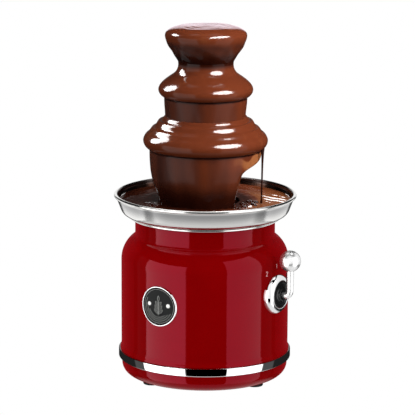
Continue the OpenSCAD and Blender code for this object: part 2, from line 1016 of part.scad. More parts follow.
module chocolate_middle_flow() {
    lip = [middle_r + film, middle_lip_z + 0.7];
    bell = [waist[0] + 7.1, waist[1] - 15.8];
    hang = [lip[0] - 5.1, lip[1] - 10.5];
    inner = [-curtain_t, 0];
    outside = concat(curve(waist - [0, 0.1], waist + [-1.3, -5.5], bell + [-6, 2], bell),
        curve(bell, bell + [8, -4.2], lip + [0.6, 6], lip),
        curve(lip, lip + [-1, -5], hang + [1.1, 4.5], hang),
        curve(hang, hang + [-1.1, -5.5], landing + [0.2, 4.5], landing));
    curtain = curve(landing + inner, landing + inner + [0.2, 4.5], hang + inner + [-1.1, -5.5], hang + inner);
    film_foot = shifted(curve(middle_dome[0], middle_dome[1], middle_dome[2], middle_dome[3]), [gap, gap]);
    inside = concat(curtain, [hang + [0.6, 4], [middle_r - 1, middle_lip_z - 2.4],
        [middle_r + gap, middle_lip_z - 0.1]], reversed(film_foot), [[crown_hub_r + gap, waist[1] - 0.1]]);
    color("saddlebrown")
        rotate_extrude()
            polygon(concat(outside, inside));
}

// Side of the lower curtain that is drawn in towards the tube, from its lip down to the pool
drawn_side = curve([lower_r + 1, lower_lip_z - 1.8], [lower_r - 23, lower_lip_z - 9.8],
    [lower_r - 25, lower_lip_z - 29.8], [lower_r - 33, pool_z - 0.8]);

// Prism across the drawn-in side, over a profile of distances from the axis and heights
module across_draw(profile) {
    rotate(draw_angle)
        rotate([90, 0, 0])
            linear_extrude(height = 2 * bowl_rim_r, center = true)
                polygon(profile);
}

module chocolate_lower_flow() {
    lip = [lower_r + film, lower_lip_z + 4.4];
    dome = [lower_r - 11.5, lower_lip_z + 21];
    crease = lip - [5.4, 8.4];
    hang = lip - [6, 12];
    tail = [lip[0] - 10.2, pool_z + 18];
    foot = [lip[0] - 15.4, pool_z + pool_gap];
    inner = [-curtain_t, 0];
    start = landing - [0, 0.2];
    curtain = concat(curve(hang, hang + [0.6, -10], tail + [3, 10], tail),
        curve(tail, tail + [-2.5, -8], foot + [0.5, 7], foot));
    outside = concat(curve(start, start + [0.2, -3.5], dome + [-5, 4.7], dome),
        curve(dome, dome + [5.8, -5.5], lip + [0, 5.6], lip),
        curve(lip, lip - [0.1, 3.6], lip - [2.4, 6.8], crease), [crease - [2, 1.4]], curtain);
    film_foot = shifted(curve(lower_dome[0], lower_dome[1], lower_dome[2], lower_dome[3], t0 = 0.27), [gap, gap]);
    inside = concat(reversed(shifted(curtain, inner)), [crease - [3.4, 1.8], crease + [-3.4, 0.6],
        crease + [-0.6, 2.4], [lower_r - 2, lower_lip_z - 0.3], [lower_r + gap, lower_lip_z - 0.2]],
        reversed(film_foot));
    core = concat([[0, crease[1] + 2.2], crease + [0.4, 2.2], crease + [-1.6, 0.4], crease - [2.7, 1.4]],
        shifted(curtain, inner / 2), [[0, foot[1]]]);
    color("saddlebrown") {
        difference() {
            rotate_extrude()
                polygon(concat(outside, inside));
            across_draw(concat(drawn_side, [[bowl_rim_r, pool_z - 0.8], [bowl_rim_r, lower_lip_z - 1.8]]));
        }
        intersection() {
            across_draw(concat(drawn_side, reversed(shifted(drawn_side, [-1.1, 1.1]))));
            rotate_extrude()
                polygon(core);
        }
    }
}

// Thin strand that runs off the lower tier's lip into the bowl
module chocolate_drip() {
    top = lower_lip_z - 0.5;
    bottom = pool_z + pool_gap;
    color("saddlebrown")
        around(1, lower_r - 0.5, drip_angle)
            rotate_extrude()
                polygon([[0, bottom], [0.7, bottom], [0.6, bottom + 30], [1, top - 12], [2, top - 2], [0, top]]);
}

rubber_feet();
bottom_cover();
cover_screws();
base_ring();
chrome_band();
housing();
cord_gland();
terminal_block();
motor_can();
gearbox();
motor_bracket();
motor_screws();
motor_shaft();
shaft_coupling();
coupling_screws();
drive_shaft();
drive_pin();
drive_bush();
bush_nut();
shaft_seal();
heater_plate();
heating_element();
thermostat();
thermal_fuse();
bowl_gasket();
bowl();
bowl_studs();
stud_nuts();
tower_locators();
tower_tube();
lower_tier();
middle_tier();
crown();
auger_core();
auger_flight();
dial_bezel();
switch_body();
switch_nut();
switch_shaft();
selector_hub();
hub_screw();
lever_arm();
lever_ball();
badge_ring();
badge_face();
lamp_lenses();
lamp_board();
chocolate_pool();
chocolate_crown();
chocolate_middle_flow();
chocolate_lower_flow();
chocolate_drip();
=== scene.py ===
"""Looks of a table-top chocolate fountain: its shells, running chocolate, finishes, studio and camera.

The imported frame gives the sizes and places. Each sub-assembly is a class that takes what it needs from the
frame, builds its pieces as grid surfaces and gives them their finish. Lengths are millimetres until a mesh
is made. Angles round the tower are counted from +X towards +Y.
"""

from __future__ import annotations

import logging
import math
from abc import ABC, abstractmethod
from collections.abc import Callable, Iterable, Sequence
from dataclasses import dataclass, field
from enum import Enum

import bmesh
import bpy
import numpy as np
from mathutils import Matrix, Vector

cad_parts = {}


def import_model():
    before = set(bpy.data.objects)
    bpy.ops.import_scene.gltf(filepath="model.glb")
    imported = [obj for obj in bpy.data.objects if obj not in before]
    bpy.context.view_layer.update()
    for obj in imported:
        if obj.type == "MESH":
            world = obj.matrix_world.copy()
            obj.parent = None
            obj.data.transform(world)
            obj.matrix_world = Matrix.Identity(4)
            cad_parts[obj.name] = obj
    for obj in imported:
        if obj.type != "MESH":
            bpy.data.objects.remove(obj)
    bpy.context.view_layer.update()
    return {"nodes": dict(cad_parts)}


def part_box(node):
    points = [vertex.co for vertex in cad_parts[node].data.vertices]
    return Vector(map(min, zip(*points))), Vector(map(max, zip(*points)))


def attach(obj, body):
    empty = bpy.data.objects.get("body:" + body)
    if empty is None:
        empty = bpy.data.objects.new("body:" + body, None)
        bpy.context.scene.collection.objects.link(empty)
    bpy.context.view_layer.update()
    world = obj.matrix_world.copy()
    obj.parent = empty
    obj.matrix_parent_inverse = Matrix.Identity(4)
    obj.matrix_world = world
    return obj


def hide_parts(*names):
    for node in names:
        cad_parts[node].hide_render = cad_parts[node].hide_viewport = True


LOG = logging.getLogger("fountain")
MM = 0.001
MERGE = 1e-6  # Points nearer than this are one point.
Array = np.ndarray
Point = Sequence[float]
Colour = tuple[float, float, float]
Stops = Sequence[tuple[float, float | Colour]]
WHITE: Colour = (1.0, 1.0, 1.0)


class Body(Enum):
    """Rigid bodies of the frame that the new pieces ride on."""

    BASE = "base"
    TOWER = "tower"
    SELECTOR = "selector"


def smoothstep(low: float, high: float, value: Array) -> Array:
    """Blend from 0 at one limit to 1 at the other and level at both: three t squared less two t cubed."""
    t = np.clip((value - low) / (high - low), 0.0, 1.0)
    return t * t * (3.0 - 2.0 * t)


def bump(centre: float, width: float, value: Array) -> Array:
    """Bell curve of height 1 round a centre, whose width is one standard deviation."""
    return np.exp(-0.5 * ((value - centre) / width) ** 2)


def soft_min(a: Array, b: Array, blend: float) -> Array:
    """Smaller of two values, rounded by a parabola where they are less than the blend apart."""
    near = np.maximum(blend - np.abs(a - b), 0.0)
    return np.minimum(a, b) - near**2 / (4.0 * blend)


def turn_between(angle: Array, centre: float) -> Array:
    """Signed angle from a centre direction in radians, wrapped to half a turn each way."""
    return (angle - centre + math.pi) % math.tau - math.pi


def full_turn(count: int) -> Array:
    """Evenly spaced angles of a full turn in radians, without the last, which is the first again."""
    return np.linspace(0.0, math.tau, count, endpoint=False)


def circle(angle: Array) -> Array:
    """Points of the unit circle at some angles, as cosine and sine."""
    return np.stack([np.cos(angle), np.sin(angle)], axis=-1)


def polar(points: Array) -> tuple[Array, Array, Array]:
    """Radius, angle and height of points round the tower's axis."""
    x, y, z = np.moveaxis(points, -1, 0)
    return np.hypot(x, y), np.arctan2(y, x), z.copy()


def ripples(angle: Array, *waves: tuple[float, float, float]) -> Array:
    """Sum of sine waves round a turn, each with its height, its count and its phase in radians."""
    return sum(height * np.sin(count * angle + phase) for height, count, phase in waves)


def along_x(points: Array, height: float) -> Array:
    """Lay a piece that is turned round Z along +X, at a height above the floor."""
    return np.stack([points[..., 2], points[..., 1], height - points[..., 0]], axis=2)


def along_y(points: Array, height: float) -> Array:
    """Lay a piece that is turned round Z along +Y, at a height above the floor."""
    return np.stack([points[..., 0], points[..., 2], height + points[..., 1]], axis=2)


class Outline:
    """A chain of points in a plane, drawn from lines, arcs and cubic curves."""

    def __init__(self, start: Point) -> None:
        """Start the chain at a point, given as radius and height."""
        self._points: list[Array] = [np.array(start, float)]

    def line(self, *points: Point, steps: int = 1) -> Outline:
        """Go on in straight lines.

        Args:
            points: Points to pass through.
            steps: Stretches into which each line is cut.

        Returns:
            This outline.
        """
        share = np.arange(1, steps + 1)[:, None] / steps
        for point in points:
            begin = self._points[-1]
            self._points.extend(begin + (np.array(point, float) - begin) * share)
        return self

    def arc(self, centre: Point, radius: float, start: float, stop: float, steps: int = 12) -> Outline:
        """Go on along a circle.

        Args:
            centre: Middle of the circle.
            radius: Radius of the circle.
            start: First angle in degrees.
            stop: Last angle in degrees.
            steps: Stretches into which the arc is cut.

        Returns:
            This outline.
        """
        angle = np.radians(np.linspace(start, stop, steps + 1))
        self._points.extend(np.array(centre, float) + radius * circle(angle))
        return self

    def cubic(self, b: Point, c: Point, d: Point, steps: int = 14) -> Outline:
        """Go on along a cubic curve from the last point.

        Args:
            b: First control point.
            c: Second control point.
            d: End of the curve.
            steps: Stretches into which the curve is cut.

        Returns:
            This outline.
        """
        a, b, c, d = self._points[-1], *(np.array(p, float) for p in (b, c, d))
        t = np.linspace(0.0, 1.0, steps + 1)[1:, None]
        self._points.extend((1 - t) ** 3 * a + 3 * (1 - t) ** 2 * t * b + 3 * (1 - t) * t**2 * c + t**3 * d)
        return self

    def points(self) -> Array:
        """Return the chain without repeated points.

        Returns:
            An array of points, one to a row.
        """
        chain = np.array(self._points)
        moved = np.linalg.norm(np.diff(chain, axis=0), axis=1) > MERGE
        return chain[np.concatenate([[True], moved])]


@dataclass
class Grid:
    """A surface given by rows and columns of points, in millimetres.

    Attributes:
        points: Array of rows by columns by three coordinates.
        loop_rows: Whether the last row joins the first.
        loop_columns: Whether the last column joins the first.
        crease: Angle in degrees above which an edge is drawn sharp.
        tone: Optional value at each point that a finish can read.
    """

    points: Array
    loop_rows: bool = False
    loop_columns: bool = True
    crease: float = 38.0
    tone: Array | None = None

    @classmethod
    def revolved(cls, outline: Array, segments: int = 192, **options: object) -> Grid:
        """Turn an outline of radius and height round the Z axis.

        Args:
            outline: Points of the outline.
            segments: Faces round the axis.
            options: Further fields of the grid.

        Returns:
            The grid, with one row for each outline point.
        """
        angle = full_turn(segments)
        radius, height = outline[:, :1], outline[:, 1:]
        points = [radius * np.cos(angle), radius * np.sin(angle), height * np.ones_like(angle)]
        return cls(np.stack(points, axis=2), **options)

    def moved(self, change: Callable[[Array], Array]) -> Grid:
        """Replace the points by a function of them, and return this grid."""
        self.points = change(self.points)
        return self

    def toned(self, rule: Callable[[Array], Array]) -> Grid:
        """Set the tone by a function of the points, and return this grid."""
        self.tone = rule(self.points)
        return self

    def faces(self, first: int) -> Array:
        """Corner numbers of the grid's faces.

        Args:
            first: Number of the grid's first point.

        Returns:
            An array of four corners to a face.
        """
        rows, columns = self.points.shape[:2]
        row = np.arange(rows if self.loop_rows else rows - 1)
        column = np.arange(columns if self.loop_columns else columns - 1)
        r, c = np.meshgrid(row, column, indexing="ij")
        here, below = r * columns, (r + 1) % rows * columns
        right = (c + 1) % columns
        return np.stack([here + c, here + right, below + right, below + c], axis=2).reshape(-1, 4) + first


def grid_mesh(name: str, grids: Sequence[Grid]) -> bpy.types.Mesh:
    """Make one closed, smooth mesh of some grids, with their tones as a point attribute.

    Args:
        name: Name of the mesh.
        grids: Surfaces of the mesh.

    Returns:
        The mesh, in metres.
    """
    starts = np.cumsum([0] + [grid.points.size // 3 for grid in grids])
    points = np.concatenate([grid.points.reshape(-1, 3) for grid in grids])
    faces = np.concatenate([grid.faces(start) for grid, start in zip(grids, starts)])
    mesh = bpy.data.meshes.new(name)
    mesh.from_pydata(points * MM, [], faces)
    if grids[0].tone is not None:
        tone = np.concatenate([grid.tone.ravel() for grid in grids]).astype(np.float32)
        mesh.attributes.new("tone", "FLOAT", "POINT").data.foreach_set("value", tone)
    work = bmesh.new()
    work.from_mesh(mesh)
    bmesh.ops.remove_doubles(work, verts=work.verts, dist=MERGE)
    bmesh.ops.recalc_face_normals(work, faces=work.faces)
    work.to_mesh(mesh)
    work.free()
    mesh.shade_smooth()
    mesh.set_sharp_from_angle(angle=math.radians(grids[0].crease))
    return mesh


def rod(radius: float, start: float, end: float, segments: int = 48) -> Grid:
    """Closed round rod along Z between two heights."""
    outline = Outline((0.0, start)).line((radius, start), (radius, end), (0.0, end))
    return Grid.revolved(outline.points(), segments)


def drill(piece: bpy.types.Object, grid: Grid) -> None:
    """Cut a hole into a piece.

    Args:
        piece: Piece to cut.
        grid: Closed surface of the part that is taken away.
    """
    cutter = bpy.data.objects.new("cutter", grid_mesh("cutter", [grid]))
    bpy.context.scene.collection.objects.link(cutter)
    cut = piece.modifiers.new("cut", "BOOLEAN")
    cut.operation, cut.solver, cut.object = "DIFFERENCE", "EXACT", cutter
    cut_mesh = bpy.data.meshes.new_from_object(piece.evaluated_get(bpy.context.evaluated_depsgraph_get()))
    piece.modifiers.clear()
    old, piece.data = piece.data, cut_mesh
    cut_mesh.name = piece.name
    work = bmesh.new()
    work.from_mesh(cut_mesh)
    bmesh.ops.dissolve_degenerate(work, dist=MERGE, edges=work.edges[:])
    bmesh.ops.triangulate(work, faces=[face for face in work.faces if len(face.verts) > 4])
    work.to_mesh(cut_mesh)
    work.free()
    cut_mesh.set_sharp_from_angle(angle=math.radians(grid.crease))
    bpy.data.meshes.remove(old)
    bpy.data.meshes.remove(cutter.data)


def make_piece(
    name: str, grids: Iterable[Grid], body: Body, finish: Finish, replaces: Sequence[str] = ()
) -> bpy.types.Object:
    """Make one mesh object of some grids and hang it on a body of the frame.

    Args:
        name: Name of the piece.
        grids: Surfaces of the piece.
        body: Body that the piece moves with.
        finish: Finish of the piece.
        replaces: Frame nodes that the piece stands for.

    Returns:
        The object.
    """
    mesh = grid_mesh(name, list(grids))
    mesh.materials.append(finish.material())
    piece = bpy.data.objects.new(name, mesh)
    bpy.context.scene.collection.objects.link(piece)
    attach(piece, body.value)
    if replaces:
        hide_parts(*replaces)
    LOG.info("%s: %d faces, rides on %s", name, len(mesh.polygons), body.value)
    return piece


class NodeTree:
    """Short way to write a shader tree: add nodes and feed their inputs."""

    def __init__(self, tree: bpy.types.NodeTree) -> None:
        """Wrap the node tree to write into."""
        self.tree = tree

    def feed(self, node: bpy.types.Node, inputs: dict[str | int, object]) -> None:
        """Set or link the inputs of a node.

        Args:
            node: Node to feed.
            inputs: Value or output socket for each input, by its name or number.
        """
        for key, value in inputs.items():
            if isinstance(value, bpy.types.NodeSocket):
                self.tree.links.new(value, node.inputs[key])
            else:
                node.inputs[key].default_value = value

    def add(self, kind: str, inputs: dict[str | int, object] | None = None, **settings: object) -> bpy.types.Node:
        """Add a node.

        Args:
            kind: Blender's name for the node type, without its ShaderNode prefix.
            inputs: Values or output sockets for the node's inputs.
            settings: Properties of the node.

        Returns:
            The node.
        """
        node = self.tree.nodes.new(kind if kind.startswith("Node") else "ShaderNode" + kind)
        for key, value in settings.items():
            setattr(node, key, value)
        self.feed(node, inputs or {})
        return node

    def math(self, operation: str, *values: object, clamp: bool = False) -> bpy.types.NodeSocket:
        """Add a math node of numbers or sockets, whose result can be held between 0 and 1."""
        return self.add("Math", dict(enumerate(values)), operation=operation, use_clamp=clamp).outputs[0]

    def mix(self, share: object, first: object, second: object) -> bpy.types.NodeSocket:
        """Add a mix of two values, the second of which has the given share."""
        return self.add("Mix", {0: share, 2: first, 3: second}, data_type="FLOAT").outputs[0]

    def along(self, place: bpy.types.NodeSocket, direction: Vector) -> bpy.types.NodeSocket:
        """Add the part of a place that lies along a direction, which is their dot product."""
        return self.add("VectorMath", {0: place, 1: direction}, operation="DOT_PRODUCT").outputs["Value"]

    def ramp(self, value: bpy.types.NodeSocket, stops: Stops) -> bpy.types.NodeSocket:
        """Add a ramp of grey levels or of colours.

        Args:
            value: Socket with the place on the ramp.
            stops: Place and level or colour of each stop.

        Returns:
            The ramp's colour output.
        """
        node = self.add("ValToRGB", {0: value})
        elements = node.color_ramp.elements
        for i, (place, level) in enumerate(stops):
            element = elements[i] if i < 2 else elements.new(place)
            element.position = place
            element.color = (*np.broadcast_to(level, 3), 1.0)
        return node.outputs[0]

    def scale(self, value: bpy.types.NodeSocket, reach: float, stops: Stops) -> bpy.types.NodeSocket:
        """Add a ramp whose places are counted from minus a reach to the reach."""
        share = self.math("MULTIPLY_ADD", value, 0.5 / reach, 0.5)
        return self.ramp(share, [(0.5 + 0.5 * place / reach, level) for place, level in stops])


def fine_noise_group() -> bpy.types.NodeTree:
    """Shared shader group: a soft noise in the object's own coordinates, as a value and as a bumped normal.

    Returns:
        The node group, made once.
    """
    name = "fine_noise"
    if name in bpy.data.node_groups:
        return bpy.data.node_groups[name]
    group = bpy.data.node_groups.new(name, "ShaderNodeTree")
    for label, kind, side in (
        ("Scale", "NodeSocketVector", "INPUT"), ("Depth", "NodeSocketFloat", "INPUT"),
        ("Value", "NodeSocketFloat", "OUTPUT"), ("Normal", "NodeSocketVector", "OUTPUT"),
    ):
        group.interface.new_socket(label, in_out=side, socket_type=kind)
    tree = NodeTree(group)
    source = tree.add("NodeGroupInput")
    place = tree.add("TexCoord").outputs["Object"]
    scaled = tree.add("VectorMath", {0: place, 1: source.outputs["Scale"]}, operation="MULTIPLY").outputs[0]
    noise = tree.add("TexNoise", {"Vector": scaled, "Scale": 1.0, "Detail": 3.0, "Roughness": 0.55}).outputs[0]
    normal = tree.add("Bump", {"Height": noise, "Strength": 1.0, "Distance": source.outputs["Depth"]}).outputs[0]
    tree.add("NodeGroupOutput", {"Value": noise, "Normal": normal})
    return group


@dataclass(frozen=True)
class Finish(ABC):
    """A finish: its name, the record's material slot and how its shader is made.

    Attributes:
        name: Name of the material.
        slot: Slot of the record that the finish goes with.
        colour: Base colour in linear light.
        roughness: Roughness of the surface.
        grain: Waves of the fine noise to a metre, along each axis.
        depth: Depth of the noise's bump in metres, or 0 for none.
        spread: How far the noise changes the roughness.
        share: Share by which the noise changes the colour each way, or how far it shifts the tone.
    """

    name: str
    slot: str
    colour: Colour
    roughness: float
    grain: Colour = (80.0, 80.0, 80.0)
    depth: float = 0.0
    spread: float = 0.03
    share: float = 0.03

    def material(self) -> bpy.types.Material:
        """Return the finish as a material, made once.

        Returns:
            The material.
        """
        found = bpy.data.materials.get(self.name)
        if found is not None:
            return found
        material = bpy.data.materials.new(self.name)
        material.use_nodes = True
        material.diffuse_color = (*self.colour, 1.0)
        tree, shader = NodeTree(material.node_tree), material.node_tree.nodes["Principled BSDF"]
        tree.feed(shader, {"Base Color": (*self.colour, 1.0), "Roughness": self.roughness})
        noise = tree.add("Group", {"Scale": self.grain, "Depth": self.depth}, node_tree=fine_noise_group())
        if self.depth:
            tree.feed(shader, {"Normal": noise.outputs["Normal"]})
        self.dress(tree, shader, noise.outputs["Value"])
        return material

    @abstractmethod
    def dress(self, tree: NodeTree, shader: bpy.types.Node, noise: bpy.types.NodeSocket) -> None:
        """Set what is special to this kind of finish.

        Args:
            tree: Tree of the material.
            shader: The material's Principled shader.
            noise: Value of the fine noise, about 0.5 on average.
        """

    def vary_colour(self, tree: NodeTree, shader: bpy.types.Node, noise: bpy.types.NodeSocket) -> None:
        """Let the noise lighten and darken the colour."""
        low, high = (tuple(c * k for c in self.colour) for k in (1.0 - self.share, 1.0 + self.share))
        tree.feed(shader, {"Base Color": tree.ramp(noise, ((0.3, low), (0.7, high)))})

    def vary_roughness(self, tree: NodeTree, shader: bpy.types.Node, noise: bpy.types.NodeSocket) -> None:
        """Let the noise change the roughness."""
        rough = tree.math("MULTIPLY_ADD", noise, self.spread, self.roughness - 0.5 * self.spread, clamp=True)
        tree.feed(shader, {"Roughness": rough})

    def vary(self, tree: NodeTree, shader: bpy.types.Node, noise: bpy.types.NodeSocket) -> None:
        """Let the noise change the colour and the roughness."""
        self.vary_colour(tree, shader, noise)
        self.vary_roughness(tree, shader, noise)

    def tones(
        self, tree: NodeTree, noise: bpy.types.NodeSocket
    ) -> tuple[bpy.types.NodeSocket, bpy.types.NodeSocket]:
        """Read the mesh's tone.

        Args:
            tree: Tree of the material.
            noise: Value of the fine noise.

        Returns:
            The tone, and the tone shifted by the noise.
        """
        tone = tree.add("Attribute", attribute_name="tone").outputs["Fac"]
        shift = tree.math("MULTIPLY_ADD", noise, self.share, -0.5 * self.share)
        return tone, tree.math("ADD", tone, shift, clamp=True)


@dataclass(frozen=True)
class Paint(Finish):
    """Glossy coloured shell with tinted reflections and a very faint unevenness of its lacquer.

    Attributes:
        tint: Colour of the reflections seen face on.
        ior: Index of refraction, which sets their strength.
    """

    grain: Colour = (35.0, 35.0, 35.0)
    depth: float = 2e-6
    share: float = 0.05
    tint: Colour = WHITE
    ior: float = 1.5

    def dress(self, tree: NodeTree, shader: bpy.types.Node, noise: bpy.types.NodeSocket) -> None:
        """Set the reflections' tint and strength, and vary gloss and tone a little."""
        tree.feed(shader, {"Specular Tint": (*self.tint, 1.0), "IOR": self.ior})
        self.vary(tree, shader, noise)


@dataclass(frozen=True)
class Metal(Finish):
    """Bare or plated metal."""

    def dress(self, tree: NodeTree, shader: bpy.types.Node, noise: bpy.types.NodeSocket) -> None:
        """Make the surface metallic and let the grain change its roughness and tone."""
        tree.feed(shader, {"Metallic": 1.0})
        self.vary(tree, shader, noise)


@dataclass(frozen=True)
class StainedShadedSheet(Metal):
    """Sheet metal with painted shade that darkens it the lower the tone is, and under a film of chocolate where it is
    lowest.

    Attributes:
        stain: Colour of the film of chocolate.
        painted_shade: Colour of the painted shade on the sheet.
    """

    stain: Colour = (0.075, 0.033, 0.022)
    # Colour of the painted shade on the bowl's outer wall.
    painted_shade: Colour = (0.2, 0.2, 0.206)

    def dress(self, tree: NodeTree, shader: bpy.types.Node, noise: bpy.types.NodeSocket) -> None:
        """Take the colour from the tone, shifted by the grain, and let the grain change the roughness.

        Args:
            tree: Tree of the material.
            shader: The material's Principled shader.
            noise: Value of the fine noise.
        """
        _, shifted = self.tones(tree, noise)
        colours = ((0.12, self.stain), (0.35, self.painted_shade), (0.95, self.colour))
        tree.feed(shader, {"Metallic": 1.0, "Base Color": tree.ramp(shifted, colours)})
        self.vary_roughness(tree, shader, noise)


@dataclass(frozen=True)
class Moulding(Finish):
    """Plastic or rubber with a fine texture.

    Attributes:
        gloss: Strength of the reflections.
    """

    grain: Colour = (700.0, 700.0, 700.0)
    depth: float = 1e-5
    spread: float = 0.1
    share: float = 0.12
    gloss: float = 0.5

    def dress(self, tree: NodeTree, shader: bpy.types.Node, noise: bpy.types.NodeSocket) -> None:
        """Set the gloss, and vary tone and roughness with the texture."""
        tree.feed(shader, {"Specular IOR Level": self.gloss})
        self.vary(tree, shader, noise)


@dataclass(frozen=True)
class Chocolate(Finish):
    """Liquid chocolate, whose tone runs from nearly black, which is painted shade in creases, over brown to amber where
    it is thin.

    Attributes:
        shades: Colours along the tone from 0 to 1.
        sheen: Roughness along the tone from 0 to 1.
        ior: Index of refraction, which sets the strength of the reflections.
    """

    grain: Colour = (45.0, 45.0, 14.0)
    depth: float = 4e-4
    share: float = 0.2
    # The lowest stops are painted shade, for creases, the waist and the curtain's foot.
    shades: Stops = (
        (0.0, (0.008, 0.0012, 0.0006)), (0.3, (0.03, 0.006, 0.0026)),
        (0.7, (0.098, 0.0205, 0.0074)), (0.86, (0.22, 0.075, 0.026)),
    )
    sheen: Stops = ((0.18, 0.1), (0.3, 0.28), (0.54, 0.26), (0.62, 0.12))
    ior: float = 1.2

    def dress(self, tree: NodeTree, shader: bpy.types.Node, noise: bpy.types.NodeSocket) -> None:
        """Take the gloss from the tone, and the colour from the tone shifted by a noise drawn out along the fall.

        Args:
            tree: Tree of the material.
            shader: The material's Principled shader.
            noise: Value of the fine noise.
        """
        tone, shifted = self.tones(tree, noise)
        looks = {"Base Color": tree.ramp(shifted, self.shades), "Roughness": tree.ramp(tone, self.sheen)}
        tree.feed(shader, {**looks, "IOR": self.ior})


@dataclass(frozen=True)
class Lamp(Finish):
    """Lit diffuser.

    Attributes:
        glow: Strength of the light.
        shade: Colour of the light where it is weakest.
    """

    grain: Colour = (500.0, 500.0, 500.0)
    spread: float = 0.1
    glow: float = 0.2
    shade: Colour = (0.95, 0.94, 0.92)

    def dress(self, tree: NodeTree, shader: bpy.types.Node, noise: bpy.types.NodeSocket) -> None:
        """Let the diffuser shine, a little unevenly.

        Args:
            tree: Tree of the material.
            shader: The material's Principled shader.
            noise: Value of the fine noise.
        """
        light = tree.ramp(noise, ((0.3, self.shade), (0.7, WHITE)))
        tree.feed(shader, {"Emission Color": light, "Emission Strength": self.glow})
        self.vary_roughness(tree, shader, noise)


RED = Paint("red_lacquer", "red_gloss", (0.23, 0.0002, 0.0008), 0.03, tint=(1.0, 0.14, 0.25), ior=1.49)
CHROME = Metal("mirror_chrome", "chrome", (0.93, 0.93, 0.94), 0.004, spread=0.008)
SATIN = Metal("satin_chrome", "chrome", (0.95, 0.95, 0.95), 0.32, spread=0.06)
STEEL = StainedShadedSheet("bowl_sheet", "bowl_steel", (0.72, 0.715, 0.7), 0.16,
                     grain=(40.0, 40.0, 1500.0), spread=0.08, share=0.1)
PLAIN_STEEL = Metal("plain_sheet", "bowl_steel", (0.6, 0.6, 0.59), 0.25, grain=(40.0, 40.0, 900.0), spread=0.1)
BRIGHT_STEEL = Metal("turned_steel", "bright_steel", (0.62, 0.62, 0.63), 0.25,
                     grain=(300.0, 300.0, 900.0), spread=0.1)
ZINC = Metal("zinc_plating", "zinc_steel", (0.5, 0.5, 0.5), 0.35,
             grain=(400.0, 400.0, 400.0), spread=0.15, share=0.1)
MOTOR_STEEL = Paint("can_coating", "motor_steel", (0.3, 0.3, 0.32), 0.4)
BLACK = Moulding("black_moulding", "black_plastic", (0.006, 0.006, 0.007), 0.25, depth=5e-6)
DARK_FACE = Moulding("badge_black", "black_plastic", (0.004, 0.005, 0.005), 0.2, depth=2e-6, gloss=0.1)
RUBBER = Moulding("foot_rubber", "black_rubber", (0.006, 0.006, 0.006), 0.6, depth=5e-5, gloss=0.2)
GASKET = Moulding("grey_silicone", "gasket_rubber", (0.3, 0.3, 0.3), 0.6, depth=2e-5)
PALE = Moulding("pale_moulding", "pale_plastic", (0.62, 0.58, 0.48), 0.45)
BRASS = Metal("turned_brass", "brass", (0.6, 0.4, 0.13), 0.3,
              grain=(300.0, 300.0, 900.0), spread=0.1, share=0.08)
HEATER = Metal("cast_aluminium", "heater_aluminium", (0.6, 0.6, 0.62), 0.4,
               grain=(250.0, 250.0, 250.0), spread=0.15, share=0.08)
SHEATH = Metal("dull_sheath", "heater_sheath", (0.1, 0.1, 0.1), 0.5,
               grain=(200.0, 200.0, 200.0), spread=0.2, share=0.2)
WHITE_TOWER = Moulding("white_moulding", "tower_plastic", (0.75, 0.73, 0.68), 0.3)
LENS = Lamp("lamp_diffuser", "lamp_white", (0.8, 0.8, 0.78), 0.2)
BOARD = Moulding("board_mask", "board_green", (0.01, 0.09, 0.025), 0.4)
COCOA = Chocolate("liquid_chocolate", "chocolate", (0.12, 0.03, 0.012), 0.15)
SETTLED = Chocolate("settled_chocolate", "chocolate", (0.12, 0.03, 0.012), 0.1, sheen=((0.1, 0.035), (0.7, 0.045)))
PRINT = Moulding("badge_print", "lamp_white", (0.34, 0.35, 0.33), 0.45)
DIGITS = Moulding("dial_print", "lamp_white", (0.72, 0.34, 0.36), 0.5)

INNER_FINISHES: dict[Finish, tuple[str, ...]] = {
    PLAIN_STEEL: ("bowl_studs", "tower_locators"),
    BRIGHT_STEEL: ("motor_bracket", "motor_shaft", "drive_shaft", "drive_pin", "switch_nut", "switch_shaft"),
    ZINC: ("cover_screws", "motor_screws", "coupling_screws", "stud_nuts", "hub_screw"),
    MOTOR_STEEL: ("motor_can",),
    BLACK: ("bottom_cover", "switch_body"),
    RUBBER: ("shaft_seal",),
    GASKET: ("bowl_gasket",),
    PALE: ("terminal_block", "gearbox", "thermostat", "thermal_fuse"),
    BRASS: ("shaft_coupling", "drive_bush", "bush_nut"),
    HEATER: ("heater_plate",),
    SHEATH: ("heating_element",),
    WHITE_TOWER: ("tower_tube", "lower_tier", "middle_tier", "crown", "auger_core", "auger_flight"),
    BOARD: ("lamp_board",),
}


@dataclass
class Box:
    """Box of a frame node at rest, in millimetres.

    Attributes:
        low: Lowest corner.
        high: Highest corner.
    """

    low: Vector
    high: Vector

    @classmethod
    def of(cls, node: str) -> Box:
        """Measure a frame node, given by its name."""
        low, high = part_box(node)
        return cls(low / MM, high / MM)

    @property
    def middle(self) -> Vector:
        """Middle of the box."""
        return (self.low + self.high) / 2

    @property
    def half(self) -> Vector:
        """Half of each side of the box."""
        return (self.high - self.low) / 2


@dataclass
class Span:
    """Size of a frame node that is round about the tower's axis, in millimetres.

    Attributes:
        radius: Largest radius.
        low: Lowest height.
        high: Highest height.
    """

    radius: float
    low: float
    high: float

    @classmethod
    def of(cls, node: str) -> Span:
        """Measure a frame node, given by its name."""
        box = Box.of(node)
        return cls(max(box.high.y, -box.low.y), box.low.z, box.high.z)


